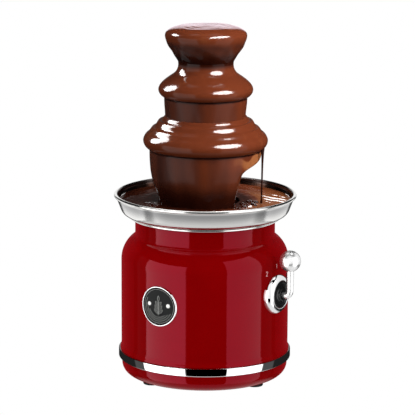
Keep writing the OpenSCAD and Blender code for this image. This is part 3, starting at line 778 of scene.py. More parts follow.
@dataclass
class Shells:
    """Base ring, chrome band, housing, feet and gland.

    Attributes:
        wall: Wall thickness.
        edge: Rounding of the edges next to the band.
        fillet: Rounding of the base ring's lower edge.
        ledge: How far the base ring goes on inwards below.
        band_depth: Thickness of the chrome band.
        band_edge: Rounding of the chrome band's edges.
        flare: How far the housing's foot stands out.
        shoulder: Radius of the shoulder's arc.
        shoulder_height: Height of the shoulder's middle.
        blend: Radius of the hollow between shoulder and neck.
        neck: Radius of the neck.
        neck_edge: Rounding of the neck's upper edge.
        shelf: Width of the shelf in the neck.
        switch_hole: Radius of the hole for the switch.
        gland_hole: Radius of the hole for the gland.
        sole: Radius of a foot.
        lacquered: The red pieces, once they are built.
    """

    wall: float = 2.0
    edge: float = 0.4
    fillet: float = 11.5
    ledge: float = 1.8
    band_depth: float = 4.9
    band_edge: float = 0.9
    flare: float = 1.3
    shoulder: float = 30.0
    shoulder_height: float = 128.5
    blend: float = 4.5
    neck: float = 73.0
    neck_edge: float = 0.6
    shelf: float = 15.0
    switch_hole: float = 6.0
    gland_hole: float = 5.1
    sole: float = 9.0
    lacquered: list[bpy.types.Object] = field(default_factory=list)

    @property
    def body_radius(self) -> float:
        """Radius of the housing's straight wall."""
        return Span.of("housing").radius - self.flare

    def build(self) -> None:
        """Build every shell below the bowl."""
        self.base_ring()
        self.chrome_band()
        self.housing()
        self.feet()
        self.gland()

    def base_ring(self) -> None:
        """Ring with a round lower edge: a straight wall, a quarter arc below it and an open bottom.

        A round hole at the rear lets the gland through.
        """
        span = Span.of("base_ring")
        turn = (span.radius - self.fillet, span.low + self.fillet)
        ledge = turn[0] - self.ledge
        outline = Outline((span.radius - self.wall, span.high)).line((span.radius - self.edge, span.high))
        outline.arc((span.radius - self.edge, span.high - self.edge), self.edge, 90, 0, 4)
        outline.line((span.radius, turn[1]), steps=3).arc(turn, self.fillet, 0, -90, 16)
        outline.line((ledge, span.low), (ledge, span.low + self.wall))
        outline.arc(turn, self.fillet - self.wall, -90, 0, 10)
        grid = Grid.revolved(outline.points(), loop_rows=True)
        piece = make_piece("base_ring_shell", [grid], Body.BASE, RED, ["base_ring"])
        gland = Box.of("cord_gland")
        hole = rod(self.gland_hole, gland.low.y - 5.0, gland.high.y + 5.0)
        drill(piece, hole.moved(lambda p: along_y(p, gland.middle.z)))
        self.lacquered.append(piece)

    def chrome_band(self) -> None:
        """Plain ring whose outer edges are small quarter arcs."""
        span = Span.of("chrome_band")
        edge = self.band_edge
        inside, turn = span.radius - self.band_depth, span.radius - edge
        outline = Outline((inside, span.low)).line((turn, span.low))
        outline.arc((turn, span.low + edge), edge, -90, 0, 6).arc((turn, span.high - edge), edge, 0, 90, 6)
        outline.line((inside, span.high))
        grid = Grid.revolved(outline.points(), loop_rows=True)
        make_piece("chrome_band_ring", [grid], Body.BASE, CHROME, ["chrome_band"])

    def housing(self) -> None:
        """Round body: a flared foot, a straight wall, a shoulder arc, a hollow blend and a neck with a shelf.

        A round hole on the selector's axis lets the switch through.
        """
        span = Span.of("housing")
        foot, radius = Span.of("chrome_band").high, self.body_radius
        turn = (radius - self.shoulder, self.shoulder_height)
        aside = self.neck + self.blend - turn[0]
        rise = math.sqrt((self.shoulder + self.blend) ** 2 - aside**2)
        hollow = (turn[0] + aside, turn[1] + rise)
        lean = math.degrees(math.atan2(rise, aside))
        shelf, ceiling, inner = self.neck - self.shelf, span.high - self.wall, self.neck - self.wall
        outline = Outline((radius - self.wall, foot)).line((span.radius - self.edge, foot))
        outline.arc((span.radius - self.edge, foot + self.edge), self.edge, -90, 0, 4)
        outline.cubic((span.radius, foot + 2.5), (radius, foot + 3.0), (radius, foot + 6.5), 8)
        outline.line((radius, turn[1]), steps=46)
        outline.arc(turn, self.shoulder, 0, lean, 28).arc(hollow, self.blend, lean + 180, 180, 10)
        outline.line((self.neck, span.high - self.neck_edge), steps=4)
        outline.arc((self.neck - self.neck_edge, span.high - self.neck_edge), self.neck_edge, 0, 90, 4)
        outline.line((shelf, span.high), (shelf, ceiling), (inner, ceiling), (inner, hollow[1]))
        outline.arc(turn, self.shoulder - self.wall, lean, 0, 12)
        grid = Grid.revolved(outline.points(), 288, loop_rows=True)
        piece = make_piece("housing_shell", [grid], Body.BASE, RED, ["housing"])
        height = Box.of("dial_bezel").middle.z
        hole = rod(self.switch_hole, radius - 9.0, radius + 5.0)
        drill(piece, hole.moved(lambda p: along_x(p, height)))
        self.lacquered.append(piece)

    def feet(self) -> None:
        """Three round feet, each a turned outline with a soft lower edge, on a circle under the base."""
        high = Box.of("rubber_feet").high
        soft, sole, top = 1.2, self.sole, Span.of("base_ring").low
        outline = Outline((0.0, 0.0)).line((sole - soft, 0.0)).arc((sole - soft, soft), soft, -90, 0, 5)
        outline.line((sole, top), (3.2, top), (3.2, top + 2.6), (4.3, top + 2.6), (2.2, high.z), (0.0, high.z))
        grids = []
        for x, y in (high.x - sole) * circle(full_turn(3)):
            grids.append(Grid.revolved(outline.points(), 64).moved(lambda p, at=(x, y, 0.0): p + np.array(at)))
        make_piece("feet", grids, Body.BASE, RUBBER, ["rubber_feet"])

    def gland(self) -> None:
        """Cord gland: a turned outline laid along +Y, with a bore, an inner flange and a tapered nose."""
        box = Box.of("cord_gland")
        bore, body, flange, edge = 3.2, 5.0, box.high.x, 0.4
        start, end = box.low.y, box.high.y
        outline = Outline((bore, start)).line((flange, start), (flange, start + 3.0), (body, start + 3.0))
        outline.line((body, end - 3.0)).cubic((body, end - 1.0), (body - 0.3, end), (body - 1.2, end), 6)
        outline.line((bore + edge, end)).arc((bore + edge, end - edge), edge, 90, 180, 4)
        grid = Grid.revolved(outline.points(), 64, loop_rows=True).moved(lambda p: along_y(p, box.middle.z))
        make_piece("cord_gland_sleeve", [grid], Body.BASE, RUBBER, ["cord_gland"])


@dataclass
class Bowl:
    """Stainless bowl with a rolled rim.

    Attributes:
        sheet: Thickness of the sheet.
        bead: Radius of the rolled rim.
        bead_rows: Rows of the rim's arc that lie on its inner half.
        corner: Radius of the corner between floor and wall.
        slope: Degrees by which the wall leans outwards.
        hole: Radius of the hole in the floor.
        foot: Radius of the low foot ring.
        groove: Height of the groove above the foot ring's underside.
    """

    sheet: float = 0.9
    bead: float = 1.8
    bead_rows: int = 7
    corner: float = 8.5
    slope: float = 20.0
    hole: float = 9.2
    foot: float = 77.4
    groove: float = 3.6

    def build(self) -> bpy.types.Object:
        """Floor with a hole and a low foot ring, a groove, a round corner, a sloping wall and a rolled rim.

        Returns:
            The bowl.
        """
        span = Span.of("bowl")
        slope, inner, foot = math.radians(self.slope), self.corner - self.sheet, self.foot
        rim, rim_z = span.radius - self.bead, span.high - self.bead
        groove, floor = span.low + self.groove, span.low + self.sheet
        turn_z = groove + self.corner
        turn = (rim - self.corner / math.cos(slope) - (rim_z - turn_z) * math.tan(slope), turn_z)
        outline = Outline((self.hole, span.low)).line((foot - 1.0, span.low), steps=6)
        outline.arc((foot, span.low + 1.3), 1.2, -90, 90, 12)
        outline.line((foot - 0.8, span.low + 2.9), (foot - 0.2, groove), (turn[0], groove))
        outline.arc(turn, self.corner, -90, -self.slope, 16).line((rim - 0.3, rim_z - 1.5), steps=6)
        outline.arc((rim, rim_z), self.bead, -75, 205, 18)
        outside = len(outline.points()) - self.bead_rows
        outline.line((turn[0] + inner * math.cos(slope), turn[1] - inner * math.sin(slope)), steps=6)
        outline.arc(turn, inner, -self.slope, -80, 12)
        outline.cubic((foot - 0.2, groove + 0.8), (foot - 2.0, floor), (foot - 6.0, floor), 6)
        outline.line((self.hole, floor), steps=6)

        def stain_and_painted_shade(points: Array) -> Array:
            """Full tone on the rim and low on the outside, painted shade that darkens up the outer wall, stained inside
            and most near the pool.

            Args:
                points: Points of the surface.

            Returns:
                The tone at each point.
            """
            row, height = np.arange(len(points))[:, None], points[..., 2]
            # Painted shade: the outer wall darkens from above the groove up to just below the rim.
            wall = smoothstep(groove + 3.0, rim_z - 5.0, height) * (height < rim_z - 1.6)
            return np.where(row > outside, 0.2 * smoothstep(rim_z - 8.0, rim_z, height), 1.0 - 0.5 * wall)

        grid = Grid.revolved(outline.points(), 256, loop_rows=True).toned(stain_and_painted_shade)
        return make_piece("bowl_shell", [grid], Body.BASE, STEEL, ["bowl"])


# Tones on the chocolate's ramp: SHADED_TONE is painted shade for strands and drops; WARM_TONE is the domes' brown,
# partly painted light from above; AMBER_TONE is where the film is thin.
SHADED_TONE, WARM_TONE, AMBER_TONE = 0.16, 0.68, 0.86


@dataclass
class RunningChocolate:
    """Chocolate over the crown and the tiers, the strand at the right and the pool in the bowl.

    Attributes:
        view: Azimuth from which the photograph is taken, in degrees from -Y towards +X.
        waist: Radius where the crown's flow meets the middle tier's.
        round_edge: How widely the lower curtain rounds into its drawn-in side.
        thickness: Thickness of the lower curtain at that side.
        opening: Radius of the opening in the pool, in which the tower stands.
        pieces: The stretches of chocolate by name, once they are built.
    """

    view: float
    waist: float = 28.9
    round_edge: float = 6.0
    thickness: float = 1.4
    opening: float = 36.0
    pieces: dict[str, bpy.types.Object] = field(default_factory=dict)

    def build(self) -> None:
        """Build every stretch of chocolate."""
        self.crown()
        self.middle()
        self.lower()
        self.strand()
        self.pool()

    @property
    def right(self) -> float:
        """Angle of the photograph's right side round the tower, in radians."""
        return math.radians(self.view)

    def painted_light_side(self, points: Array) -> Array:
        """Painted light and shade round the tower: the cosine of the turn from the view's right side, lightest there.
        """
        return np.cos(polar(points)[1] - self.right)

    @staticmethod
    def creased(height: Array, crease: float, dome: Array, hanging: Array) -> Array:
        """Tone of a dome above its crease, into which it fades as painted shade, and of the curtain below."""
        return np.where(height > crease, dome * smoothstep(crease, crease + 1.6, height), hanging)

    @staticmethod
    def shaded(points: Array) -> Array:
        """The dark tone of strands and drops, the same at every point."""
        return np.full(points.shape[:2], SHADED_TONE)

    def crown(self) -> None:
        """Brimming cup: a low dome on top, a round rim, a cone that draws in to the waist and a hidden plug.

        The tone is warm on the rim and falls along the cone to nearly black at the waist in painted shade, less so on
        the right side by painted light.
        """
        span = Span.of("chocolate_crown")
        top, foot, waist = span.high, span.low, self.waist
        rim, rim_z = span.radius, span.high - 10.8
        outline = Outline((0.0, top)).cubic((10.0, top), (18.0, top - 0.4), (25.0, top - 0.8))
        outline.cubic((35.0, top - 1.3), (rim + 0.1, rim_z + 5.8), (rim, rim_z), 18)
        outline.cubic((rim - 0.2, rim_z - 7.0), (waist + 5.6, foot + 9.5), (waist, foot), 24)
        outline.line((waist - 1.9, foot - 1.0), (rim - 2.0, rim_z - 3.0), (0.0, rim_z - 9.0))

        def boil(points: Array) -> Array:
            """Raise faint rings and lumps where the chocolate wells up, and long ripples on the cone.

            Args:
                points: Points of the surface.

            Returns:
                The points, moved.
            """
            radius, angle, height = polar(points)
            rings = 0.13 * np.sin(0.95 * radius) * smoothstep(34.0, 24.0, radius)
            lumps = 0.2 * np.sin(3 * angle + 0.14 * radius)
            lumps *= smoothstep(6.0, 16.0, radius) * smoothstep(34.0, 26.0, radius)
            points[..., 2] += np.where(height > rim_z, rings + lumps - 0.5, 0.0)
            on_cone = smoothstep(rim_z - 4.0, rim_z - 12.0, height) * smoothstep(foot, foot + 6.0, height)
            ripple = np.sin(9 * angle + 0.35 * height) + 0.6 * np.sin(17 * angle - 0.2 * height + 1.0)
            points[..., :2] *= (1.0 + 0.01 * on_cone * ripple)[..., None]
            return points

        def tone(points: Array) -> Array:
            """Warm on top and on the rim, darker down the cone by painted shade, less so on the right side by painted
            light.

            Args:
                points: Points of the surface.

            Returns:
                The tone at each point.
            """
            below = rim_z - points[..., 2]
            # Painted light: the cone fades less on the right side.
            fade = 0.3 - 0.12 * self.painted_light_side(points)
            return WARM_TONE - fade * smoothstep(2.0, 9.0, below) - 0.32 * smoothstep(13.0, 25.0, below)

        grid = Grid.revolved(outline.points(), 160, crease=60.0).moved(boil).toned(tone)
        piece = make_piece("chocolate_crown_flow", [grid], Body.TOWER, COCOA, ["chocolate_crown"])
        self.pieces["crown"] = piece

    def middle(self) -> None:
        """Film and curtain of the middle tier.

        The outline leaves the waist, swells over the tier, rolls under its lip into a crease and falls as a
        curtain that narrows downwards. Low waves round the axis, growing towards the foot, mark the fall.
        """
        span = Span.of("chocolate_middle_flow")
        lip, lip_z = span.radius, span.low + 28.6
        top, crease, foot = span.high + 0.2, lip_z - 7.4, span.low - 1.0
        outline = Outline((self.waist, top)).cubic((28.0, top - 4.5), (28.7, top - 9.8), (33.5, top - 13.6), 16)
        outline.cubic((39.5, top - 17.6), (lip + 0.1, lip_z + 6.0), (lip, lip_z), 20)
        outline.cubic((lip, lip_z - 3.2), (lip - 2.4, lip_z - 5.9), (lip - 5.0, crease), 12)
        outline.cubic((lip - 5.7, crease - 0.3), (lip - 6.0, crease - 0.7), (lip - 6.0, crease - 1.6), 8)
        outline.cubic((lip - 6.0, crease - 8.0), (lip - 7.0, span.low + 10.0), (lip - 7.6, foot), 20)
        outline.line((lip - 9.0, foot), (lip - 8.6, crease - 3.0), (lip - 3.4, crease + 3.0), steps=3)
        outline.line((26.6, top - 9.0), (26.6, top), steps=3)

        def fall(points: Array) -> Array:
            """Wave the curtain slightly, more towards its foot.

            Args:
                points: Points of the surface.

            Returns:
                The points, moved.
            """
            _, angle, height = polar(points)
            wave = ripples(angle, (0.35, 7, 0.6), (0.22, 13, 2.0)) / 42.0
            points[..., :2] *= (1.0 + smoothstep(crease, span.low, height) * wave)[..., None]
            return points

        def tone(points: Array) -> Array:
            """Painted shade dark at the waist, warm on the dome and darker below its lip, painted shade nearly black in
            the crease, and brown on the curtain, lighter on the right side by painted light.

            Args:
                points: Points of the surface.

            Returns:
                The tone at each point.
            """
            _, angle, height = polar(points)
            # Painted light: the curtain is lighter towards the right side.
            streak = 0.11 * self.painted_light_side(points) + ripples(angle, (0.04, 6, 0.4), (0.03, 13, 2.0))
            # Painted shade: the dome is dark at the waist and darker below its lip.
            dome = 0.12 + 0.56 * smoothstep(top - 0.5, top - 7.0, height) - 0.1 * smoothstep(lip_z, crease, height)
            hanging = (0.5 + streak) * smoothstep(crease - 0.6, crease - 2.2, height)
            return self.creased(height, crease, dome, hanging)

        grid = Grid.revolved(outline.points(), 224, loop_rows=True, crease=70.0).moved(fall).toned(tone)
        piece = make_piece("chocolate_middle_curtain", [grid], Body.TOWER, COCOA, ["chocolate_middle_flow"])
        self.pieces["middle"] = piece

    def lower(self) -> None:
        """Film and curtain of the lower tier.

        As on the middle tier, with ring waves where the upper curtain lands. At the photograph's right the
        curtain is drawn in towards the tube, as a falling sheet does where it starts to break, and thin there:
        each point's radius is held under a straight line across that side. The line's distance follows an
        outline of its own, which hangs full under the lip as a hem and then draws in sharply.
        """
        span = Span.of("chocolate_lower_flow")
        lip, lip_z = span.radius, span.low + 63.0
        top, crease, foot = span.high + 1.4, lip_z - 8.4, span.low - 0.5
        outline = Outline((38.5, top)).cubic((43.0, top - 1.6), (47.5, top - 4.0), (51.5, top - 9.0), 34)
        outline.cubic((57.0, top - 15.0), (lip, lip_z + 5.6), (lip, lip_z), 24)
        outline.cubic((lip - 0.1, lip_z - 3.6), (lip - 2.4, lip_z - 6.8), (lip - 5.4, crease), 12)
        outline.cubic((lip - 6.2, crease - 0.3), (lip - 6.5, crease - 0.8), (lip - 6.5, crease - 1.8), 8)
        outline.cubic((lip - 6.5, crease - 14.0), (lip - 7.0, crease - 25.0), (lip - 9.6, crease - 35.0), 40)
        outline.cubic((lip - 12.0, crease - 43.0), (lip - 15.0, span.low + 8.0), (lip - 15.6, foot), 16)
        outer = len(outline.points())
        outline.line((lip - 17.0, foot), (lip - 11.2, crease - 35.0), (lip - 9.2, crease - 3.0), steps=36)
        outline.line((lip - 4.0, crease + 3.0), (50.0, top - 10.5), (37.5, top - 3.5), steps=3)
        side = Outline((lip + 1.0, crease - 1.0))
        side.cubic((lip - 2.2, crease - 6.0), (lip - 5.0, crease - 10.2), (lip - 11.0, crease - 12.4), 12)
        side.cubic((lip - 18.0, crease - 15.2), (lip - 25.0, crease - 17.0), (lip - 27.2, crease - 22.0), 16)
        side.cubic((lip - 29.2, crease - 27.0), (lip - 32.0, crease - 38.0), (lip - 34.7, span.low - 1.2), 20)
        away, at = side.points()[::-1].T

        def flow(points: Array) -> Array:
            """Add ring waves on the dome, waves on the curtain and the drawn-in side.

            Args:
                points: Points of the surface.

            Returns:
                The points, moved.
            """
            radius, angle, height = polar(points)
            on_dome = smoothstep(lip_z + 1.5, lip_z + 6.0, height)
            strong = 0.75 + 0.25 * np.sin(2 * angle + 0.8)
            reach = 1.2 * bump(44.0, 3.2, radius) + 0.85 * bump(53.0, 6.0, radius)
            rings = reach * strong * np.sin((radius - 40.6) * 0.92 + 0.3 * np.sin(2 * angle))
            points[..., 2] += on_dome * rings
            wave = ripples(angle, (0.5, 6, 1.0), (0.35, 11, 0.4), (0.2, 19, 0.0)) / 52.0
            wide = radius * (1.0 + smoothstep(0.0, 56.0, crease - height) * wave)
            inset = np.where(np.arange(len(points)) < outer, 0.0, self.thickness)[:, None]
            limit = np.where(height < at[-1], np.interp(height, at, away) - inset, 2.0 * lip)
            flat = limit / np.maximum(np.cos(angle - self.right), 0.2)
            points[..., :2] *= (soft_min(wide, flat, self.round_edge) / np.maximum(radius, 1.0))[..., None]
            return points

        def tone(points: Array) -> Array:
            """Warm dome, darker below its lip, painted shade nearly black in the crease, and a brown curtain that is
            amber where it is thin, lighter on the right side by painted light and dark at its foot by painted shade.

            Args:
                points: Points of the surface.

            Returns:
                The tone at each point.
            """
            _, angle, height = polar(points)
            fallen = crease - height
            # Painted light: the film is lighter towards the right side.
            film = 0.5 + 0.11 * self.painted_light_side(points)
            film += ripples(angle, (0.05, 5, 1.2), (0.04, 11, 0.5), (0.03, 23, 0.0))
            # Painted shade: the curtain darkens towards its foot.
            hanging = film * smoothstep(0.6, 2.4, fallen) - (film - 0.08) * smoothstep(26.0, 56.0, fallen)
            edge = fallen + ripples(angle, (2.5, 9, 0.0), (1.5, 17, 1.0))
            thin = bump(0.0, 0.5, turn_between(angle, self.right - 0.25))
            thin *= smoothstep(1.0, 5.0, edge) * smoothstep(22.0, 8.0, edge)
            dome = WARM_TONE - 0.1 * smoothstep(lip_z, crease, height)
            return self.creased(height, crease, dome, np.minimum(hanging + 0.5 * thin, AMBER_TONE))

        grid = Grid.revolved(outline.points(), 288, loop_rows=True, crease=70.0).moved(flow).toned(tone)
        piece = make_piece("chocolate_lower_curtain", [grid], Body.TOWER, COCOA, ["chocolate_lower_flow"])
        self.pieces["lower"] = piece

    def strand(self) -> None:
        """Thin strand off the lower lip: a tube along a hanging line, a wedge at the lip and a bead at its foot."""
        box = Box.of("chocolate_drip")
        lip_z, foot_z = box.high.z + 1.2, box.low.z - 0.2
        t = np.linspace(0.0, 1.0, 60)[:, None]
        height = lip_z + (foot_z - lip_z) * t
        angle = math.atan2(box.middle.y, box.middle.x)
        away = math.hypot(box.middle.x, box.middle.y) - 1.0 * t
        thick = 0.85 + 1.3 * np.exp(-t / 0.16) + 0.4 * bump(0.97, 0.03, t)
        thick[[0, -1]] = 0.0
        ring = full_turn(14)[None, :]
        x = away * math.cos(angle) + thick * np.cos(ring)
        y = away * math.sin(angle) + thick * np.sin(ring)
        grid = Grid(np.stack([x, y, height + 0.0 * ring], axis=2)).toned(self.shaded)
        self.pieces["strand"] = make_piece("chocolate_strand", [grid], Body.TOWER, COCOA, ["chocolate_drip"])

    def pool(self) -> None:
        """Pool in the bowl: a disc with an opening, its top a field of low ring waves and of folds.

        The folds lie where the curtain lands, and slanted streaks run out from the drawn-in side. The tone is
        warm towards the rim, warmest at the view's right side by painted light, and dark under the curtain by painted
        shade.
        """
        span, floor = Span.of("chocolate_pool"), Span.of("bowl").low
        edge, surface = span.radius - 0.2, span.high
        outline = Outline((self.opening, span.low + 1.0))
        outline.line((self.opening, surface), (edge - 1.4, surface), steps=70)
        outline.cubic((edge - 0.6, surface), (edge - 0.2, surface + 0.1), (edge + 0.15, surface + 0.5), 6)
        outline.line((edge - 3.4, floor + 9.6), (edge - 6.0, floor + 6.6), (edge - 12.0, floor + 4.8))
        folds = ((-0.42, 54.0, 4.0, 0.5), (-0.15, 49.0, 3.0, 0.4), (-2.72, 58.0, 3.5, 0.5),
                 (-1.2, 53.0, 3.0, 0.4), (-2.1, 54.0, 3.5, 0.4))

        def waves(points: Array) -> Array:
            """Raise waves round the curtain's foot, folds of chocolate in them and streaks at the drawn-in side.

            Args:
                points: Points of the surface.

            Returns:
                The points, moved.
            """
            radius, angle, height = polar(points)
            rise = 0.05 * np.sin((radius - 50.0) * 0.45 + ripples(angle, (0.8, 3, 0.0), (0.5, 5, 0.0)))
            beside = bump(0.0, 0.34, turn_between(angle, self.right + 0.02)) * smoothstep(58.0, 66.0, radius)
            along = radius * np.sin(angle - self.right)
            slant = 0.42 * along + 0.45 * radius + 0.9 * np.sin(0.17 * along) + 0.5 * np.sin(0.3 * radius)
            rise += 0.2 * beside * np.sin(slant)
            for turn, away, size, tall in folds:
                off = np.hypot(radius - away, radius * turn_between(angle, self.right + turn) / 2.5)
                rise += tall * bump(0.0, size, off)
            points[..., 2] += np.where(height > surface - 0.05, rise * smoothstep(edge, edge - 8.0, radius), 0.0)
            return points

        def tone(points: Array) -> Array:
            """Warm outside, warmer at the right by painted light, and dark near the curtain by painted shade.

            Args:
                points: Points of the surface.

            Returns:
                The tone at each point.
            """
            # Painted light towards the right side, painted shade near the curtain.
            light = self.painted_light_side(points)
            inner = 51.0 - 9.0 * np.maximum(light, 0.0)
            outside = smoothstep(inner, inner + 16.0, polar(points)[0])
            return 0.18 + 0.1 * light + (0.38 + 0.16 * light) * outside

        grid = Grid.revolved(outline.points(), 256, loop_rows=True, crease=60.0).moved(waves).toned(tone)
        grids = [grid, *self.drops(surface)]
        self.pieces["pool"] = make_piece("chocolate_pool_surface", grids, Body.BASE, SETTLED, ["chocolate_pool"])

    def drops(self, surface: float) -> list[Grid]:
        """Drops that splash up where the curtain lands: flattened balls, half sunk, in two heaps.

        Args:
            surface: Height of the pool's surface.

        Returns:
            One grid for each drop.
        """
        random = np.random.default_rng(7)
        rise = np.linspace(-0.5 * math.pi, 0.5 * math.pi, 9)[:, None]
        turn = full_turn(14)[None, :]
        ball = np.stack([np.cos(rise) * np.cos(turn), np.cos(rise) * np.sin(turn), np.sin(rise) + 0.0 * turn], axis=2)
        heaps = ((self.right - 0.45, 0.3, 54.0, 20), (self.right - 2.72, 0.1, 59.0, 10))
        grids = []
        for middle, spread, away, count in heaps:
            for _ in range(count):
                angle, radius = middle + random.normal(0.0, spread), away + random.normal(0.0, 4.0)
                size = random.uniform(1.2, 3.6) * np.array([1.0, random.uniform(0.6, 1.0), random.uniform(0.35, 0.65)])
                place = np.array([radius * math.cos(angle), radius * math.sin(angle), surface])
                grids.append(Grid(ball * size + place).toned(self.shaded))
        return grids


@dataclass
class Selector:
    """Chrome bezel, black hub, bent lever with its ball, and the numbers on the housing beside it.

    Attributes:
        body_radius: Radius of the housing.
        bore: Radius of the bezel's bore.
        stub: Radius of the lever at its foot.
        stem: Radius of the lever at its bend.
        top: Radius of the lever under the ball.
        pin: Radius of the lever's pin in the hub.
        elbow: Radius of the lever's bend.
        number_circle: Distance of the numbers from the dial's middle.
        number_size: Scale of the numbers.
        dial: Box of the bezel.
        pieces: The bright metal pieces, once they are built.
    """

    body_radius: float
    bore: float = 14.6
    stub: float = 2.7
    stem: float = 3.7
    top: float = 4.1
    pin: float = 1.6
    elbow: float = 5.0
    number_circle: float = 29.2
    number_size: float = 1.4
    dial: Box = field(default_factory=lambda: Box.of("dial_bezel"))
    pieces: list[bpy.types.Object] = field(default_factory=list)

    def build(self) -> None:
        """Build the selector's pieces."""
        self.bezel()
        self.hub()
        self.lever()
        self.ball()
        self.numbers()
        for piece in self.pieces:
            piece.visible_glossy = False

    @property
    def height(self) -> float:
        """Height of the selector's axis."""
        return self.dial.middle.z

    def on_axis(self, points: Array) -> Array:
        """Lay a turned piece on the selector's axis, its height along +X."""
        return along_x(points, self.height)

    def on_wall(self, flat: Array, above: Array) -> Array:
        """Lay flat points, sideways and upwards from the dial's middle, on the housing's round wall.

        Args:
            flat: Points with a side and an up coordinate.
            above: Height of each point above the wall.

        Returns:
            Points on the wall.
        """
        turn = flat[..., 0] / self.body_radius
        radius = self.body_radius + above
        return np.stack([radius * np.cos(turn), radius * np.sin(turn), self.height + flat[..., 1]], axis=-1)

    def bezel(self) -> None:
        """Domed ring: a quarter round from the bore's front to the rim, whose skirt follows the housing's wall."""
        bore, rim, front, edge = self.bore, self.dial.half.y, self.dial.high.x, 0.5
        skirt = self.body_radius - 3.0
        outline = Outline((bore, skirt)).line((bore, front - edge), steps=4)
        outline.cubic((bore, front - 0.1), (bore + 0.2, front), (bore + edge, front), 5)
        outline.arc((bore, front - (rim - bore)), rim - bore, 85, 0, 24)
        outline.line((rim, skirt), steps=4)

        def seat(points: Array) -> Array:
            """Lift the skirt to the housing's surface.

            Args:
                points: Points of the surface.

            Returns:
                The points, moved.
            """
            wall = np.sqrt(self.body_radius**2 - points[..., 1] ** 2) + 0.05
            points[..., 0] = np.maximum(points[..., 0], wall)
            return points

        grid = Grid.revolved(outline.points(), 128, loop_rows=True).moved(self.on_axis).moved(seat)
        self.pieces.append(make_piece("dial_ring", [grid], Body.BASE, CHROME, ["dial_bezel"]))

    def hub(self) -> None:
        """Black dished disc with a raised boss, turned on the selector's axis."""
        box = Box.of("selector_hub")
        back, front, radius = box.low.x, box.high.x, box.high.y
        outline = Outline((3.0, back)).line((radius, back), (radius, back + 2.0))
        outline.cubic((radius, back + 3.0), (radius - 0.6, back + 3.0), (radius - 1.4, back + 2.6), 6)
        outline.cubic((10.0, back + 1.2), (8.0, back + 1.4), (6.4, back + 2.4), 8)
        outline.line((6.0, front - 0.8)).arc((5.2, front - 0.8), 0.8, 0, 90, 5).line((3.0, front))
        grid = Grid.revolved(outline.points(), 96, loop_rows=True).moved(self.on_axis)
        make_piece("selector_disc", [grid], Body.SELECTOR, BLACK, ["selector_hub"])

    def lever(self) -> None:
        """Bent rod: a stub that widens along +X, a quarter bend and an arm that widens upwards, round all along.

        The rod is a circle carried along the path of its middle line, square to it, and closed at both ends.
        Each row of the path gives the middle's place along X and Z, the path's lean and the circle's radius.
        """
        foot, arm_x = Box.of("selector_hub").high.x, Box.of("lever_arm").high.x - self.top
        arm_top = Box.of("lever_ball").low.z + 1.0
        low, elbow = self.height, self.elbow
        t = np.linspace(0.1, 1.0, 12)
        turn = np.linspace(0.0, 90.0, 18)
        bend_x = arm_x - elbow + elbow * np.sin(np.radians(turn))
        bend_z = low + elbow - elbow * np.cos(np.radians(turn))
        arm_z = low + elbow + (arm_top - low - elbow) * t
        stub = [(foot - 4.0, low, 0.0, 0.0), (foot - 4.0, low, 0.0, self.pin), (foot, low, 0.0, self.pin),
                (foot, low, 0.0, self.stub), (foot + 1.2, low, 0.0, self.stub + 0.15)]
        bend = np.stack(np.broadcast_arrays(bend_x, bend_z, turn, self.stem), axis=1)
        arm = np.stack(np.broadcast_arrays(arm_x, arm_z, 90.0, self.stem + (self.top - self.stem) * t), axis=1)
        rows = np.concatenate([stub, bend, arm, [(arm_x, arm_top, 90.0, 0.0)]])
        x, z, lean, thick = (column[:, None] for column in rows.T)
        ring, lean = full_turn(48)[None, :], np.radians(lean)
        side = thick * np.cos(ring)
        points = np.stack([x - np.sin(lean) * side, thick * np.sin(ring), z + np.cos(lean) * side], axis=2)
        self.pieces.append(make_piece("lever_rod", [Grid(points)], Body.SELECTOR, SATIN, ["lever_arm"]))

    def ball(self) -> None:
        """Ball on the lever: a circle from pole to pole, turned round its upright axis."""
        box = Box.of("lever_ball")
        radius = box.half.x
        outline = radius * circle(np.radians(np.linspace(-90.0, 90.0, 49)))
        outline[:, 1] += box.high.z - radius
        outline[[0, -1], 0] = 0.0
        grid = Grid.revolved(outline, 96).moved(lambda p: p + np.array([box.middle.x, 0.0, 0.0]))
        self.pieces.append(make_piece("lever_knob", [grid], Body.SELECTOR, SATIN, ["lever_ball"]))

    def numbers(self) -> None:
        """The numbers 1 and 2 on the housing above the dial, drawn as thin raised ribbons."""
        one = ((-0.7, 1.0), (0.1, 1.6), (0.1, -1.6))
        two = ((-0.95, 0.9), (-0.75, 1.4), (-0.2, 1.65), (0.4, 1.55), (0.85, 1.1), (0.8, 0.5),
               (-0.95, -1.6), (1.0, -1.6))
        grids = []
        for strokes, turn in ((one, 0.5), (two, -34.9)):
            middle = self.number_circle * circle(math.radians(90.0 - turn))
            grids.append(ribbon(self.number_size * np.array(strokes) + middle, 0.75, 0.08, self.on_wall))
        make_piece("dial_numbers", grids, Body.BASE, DIGITS)


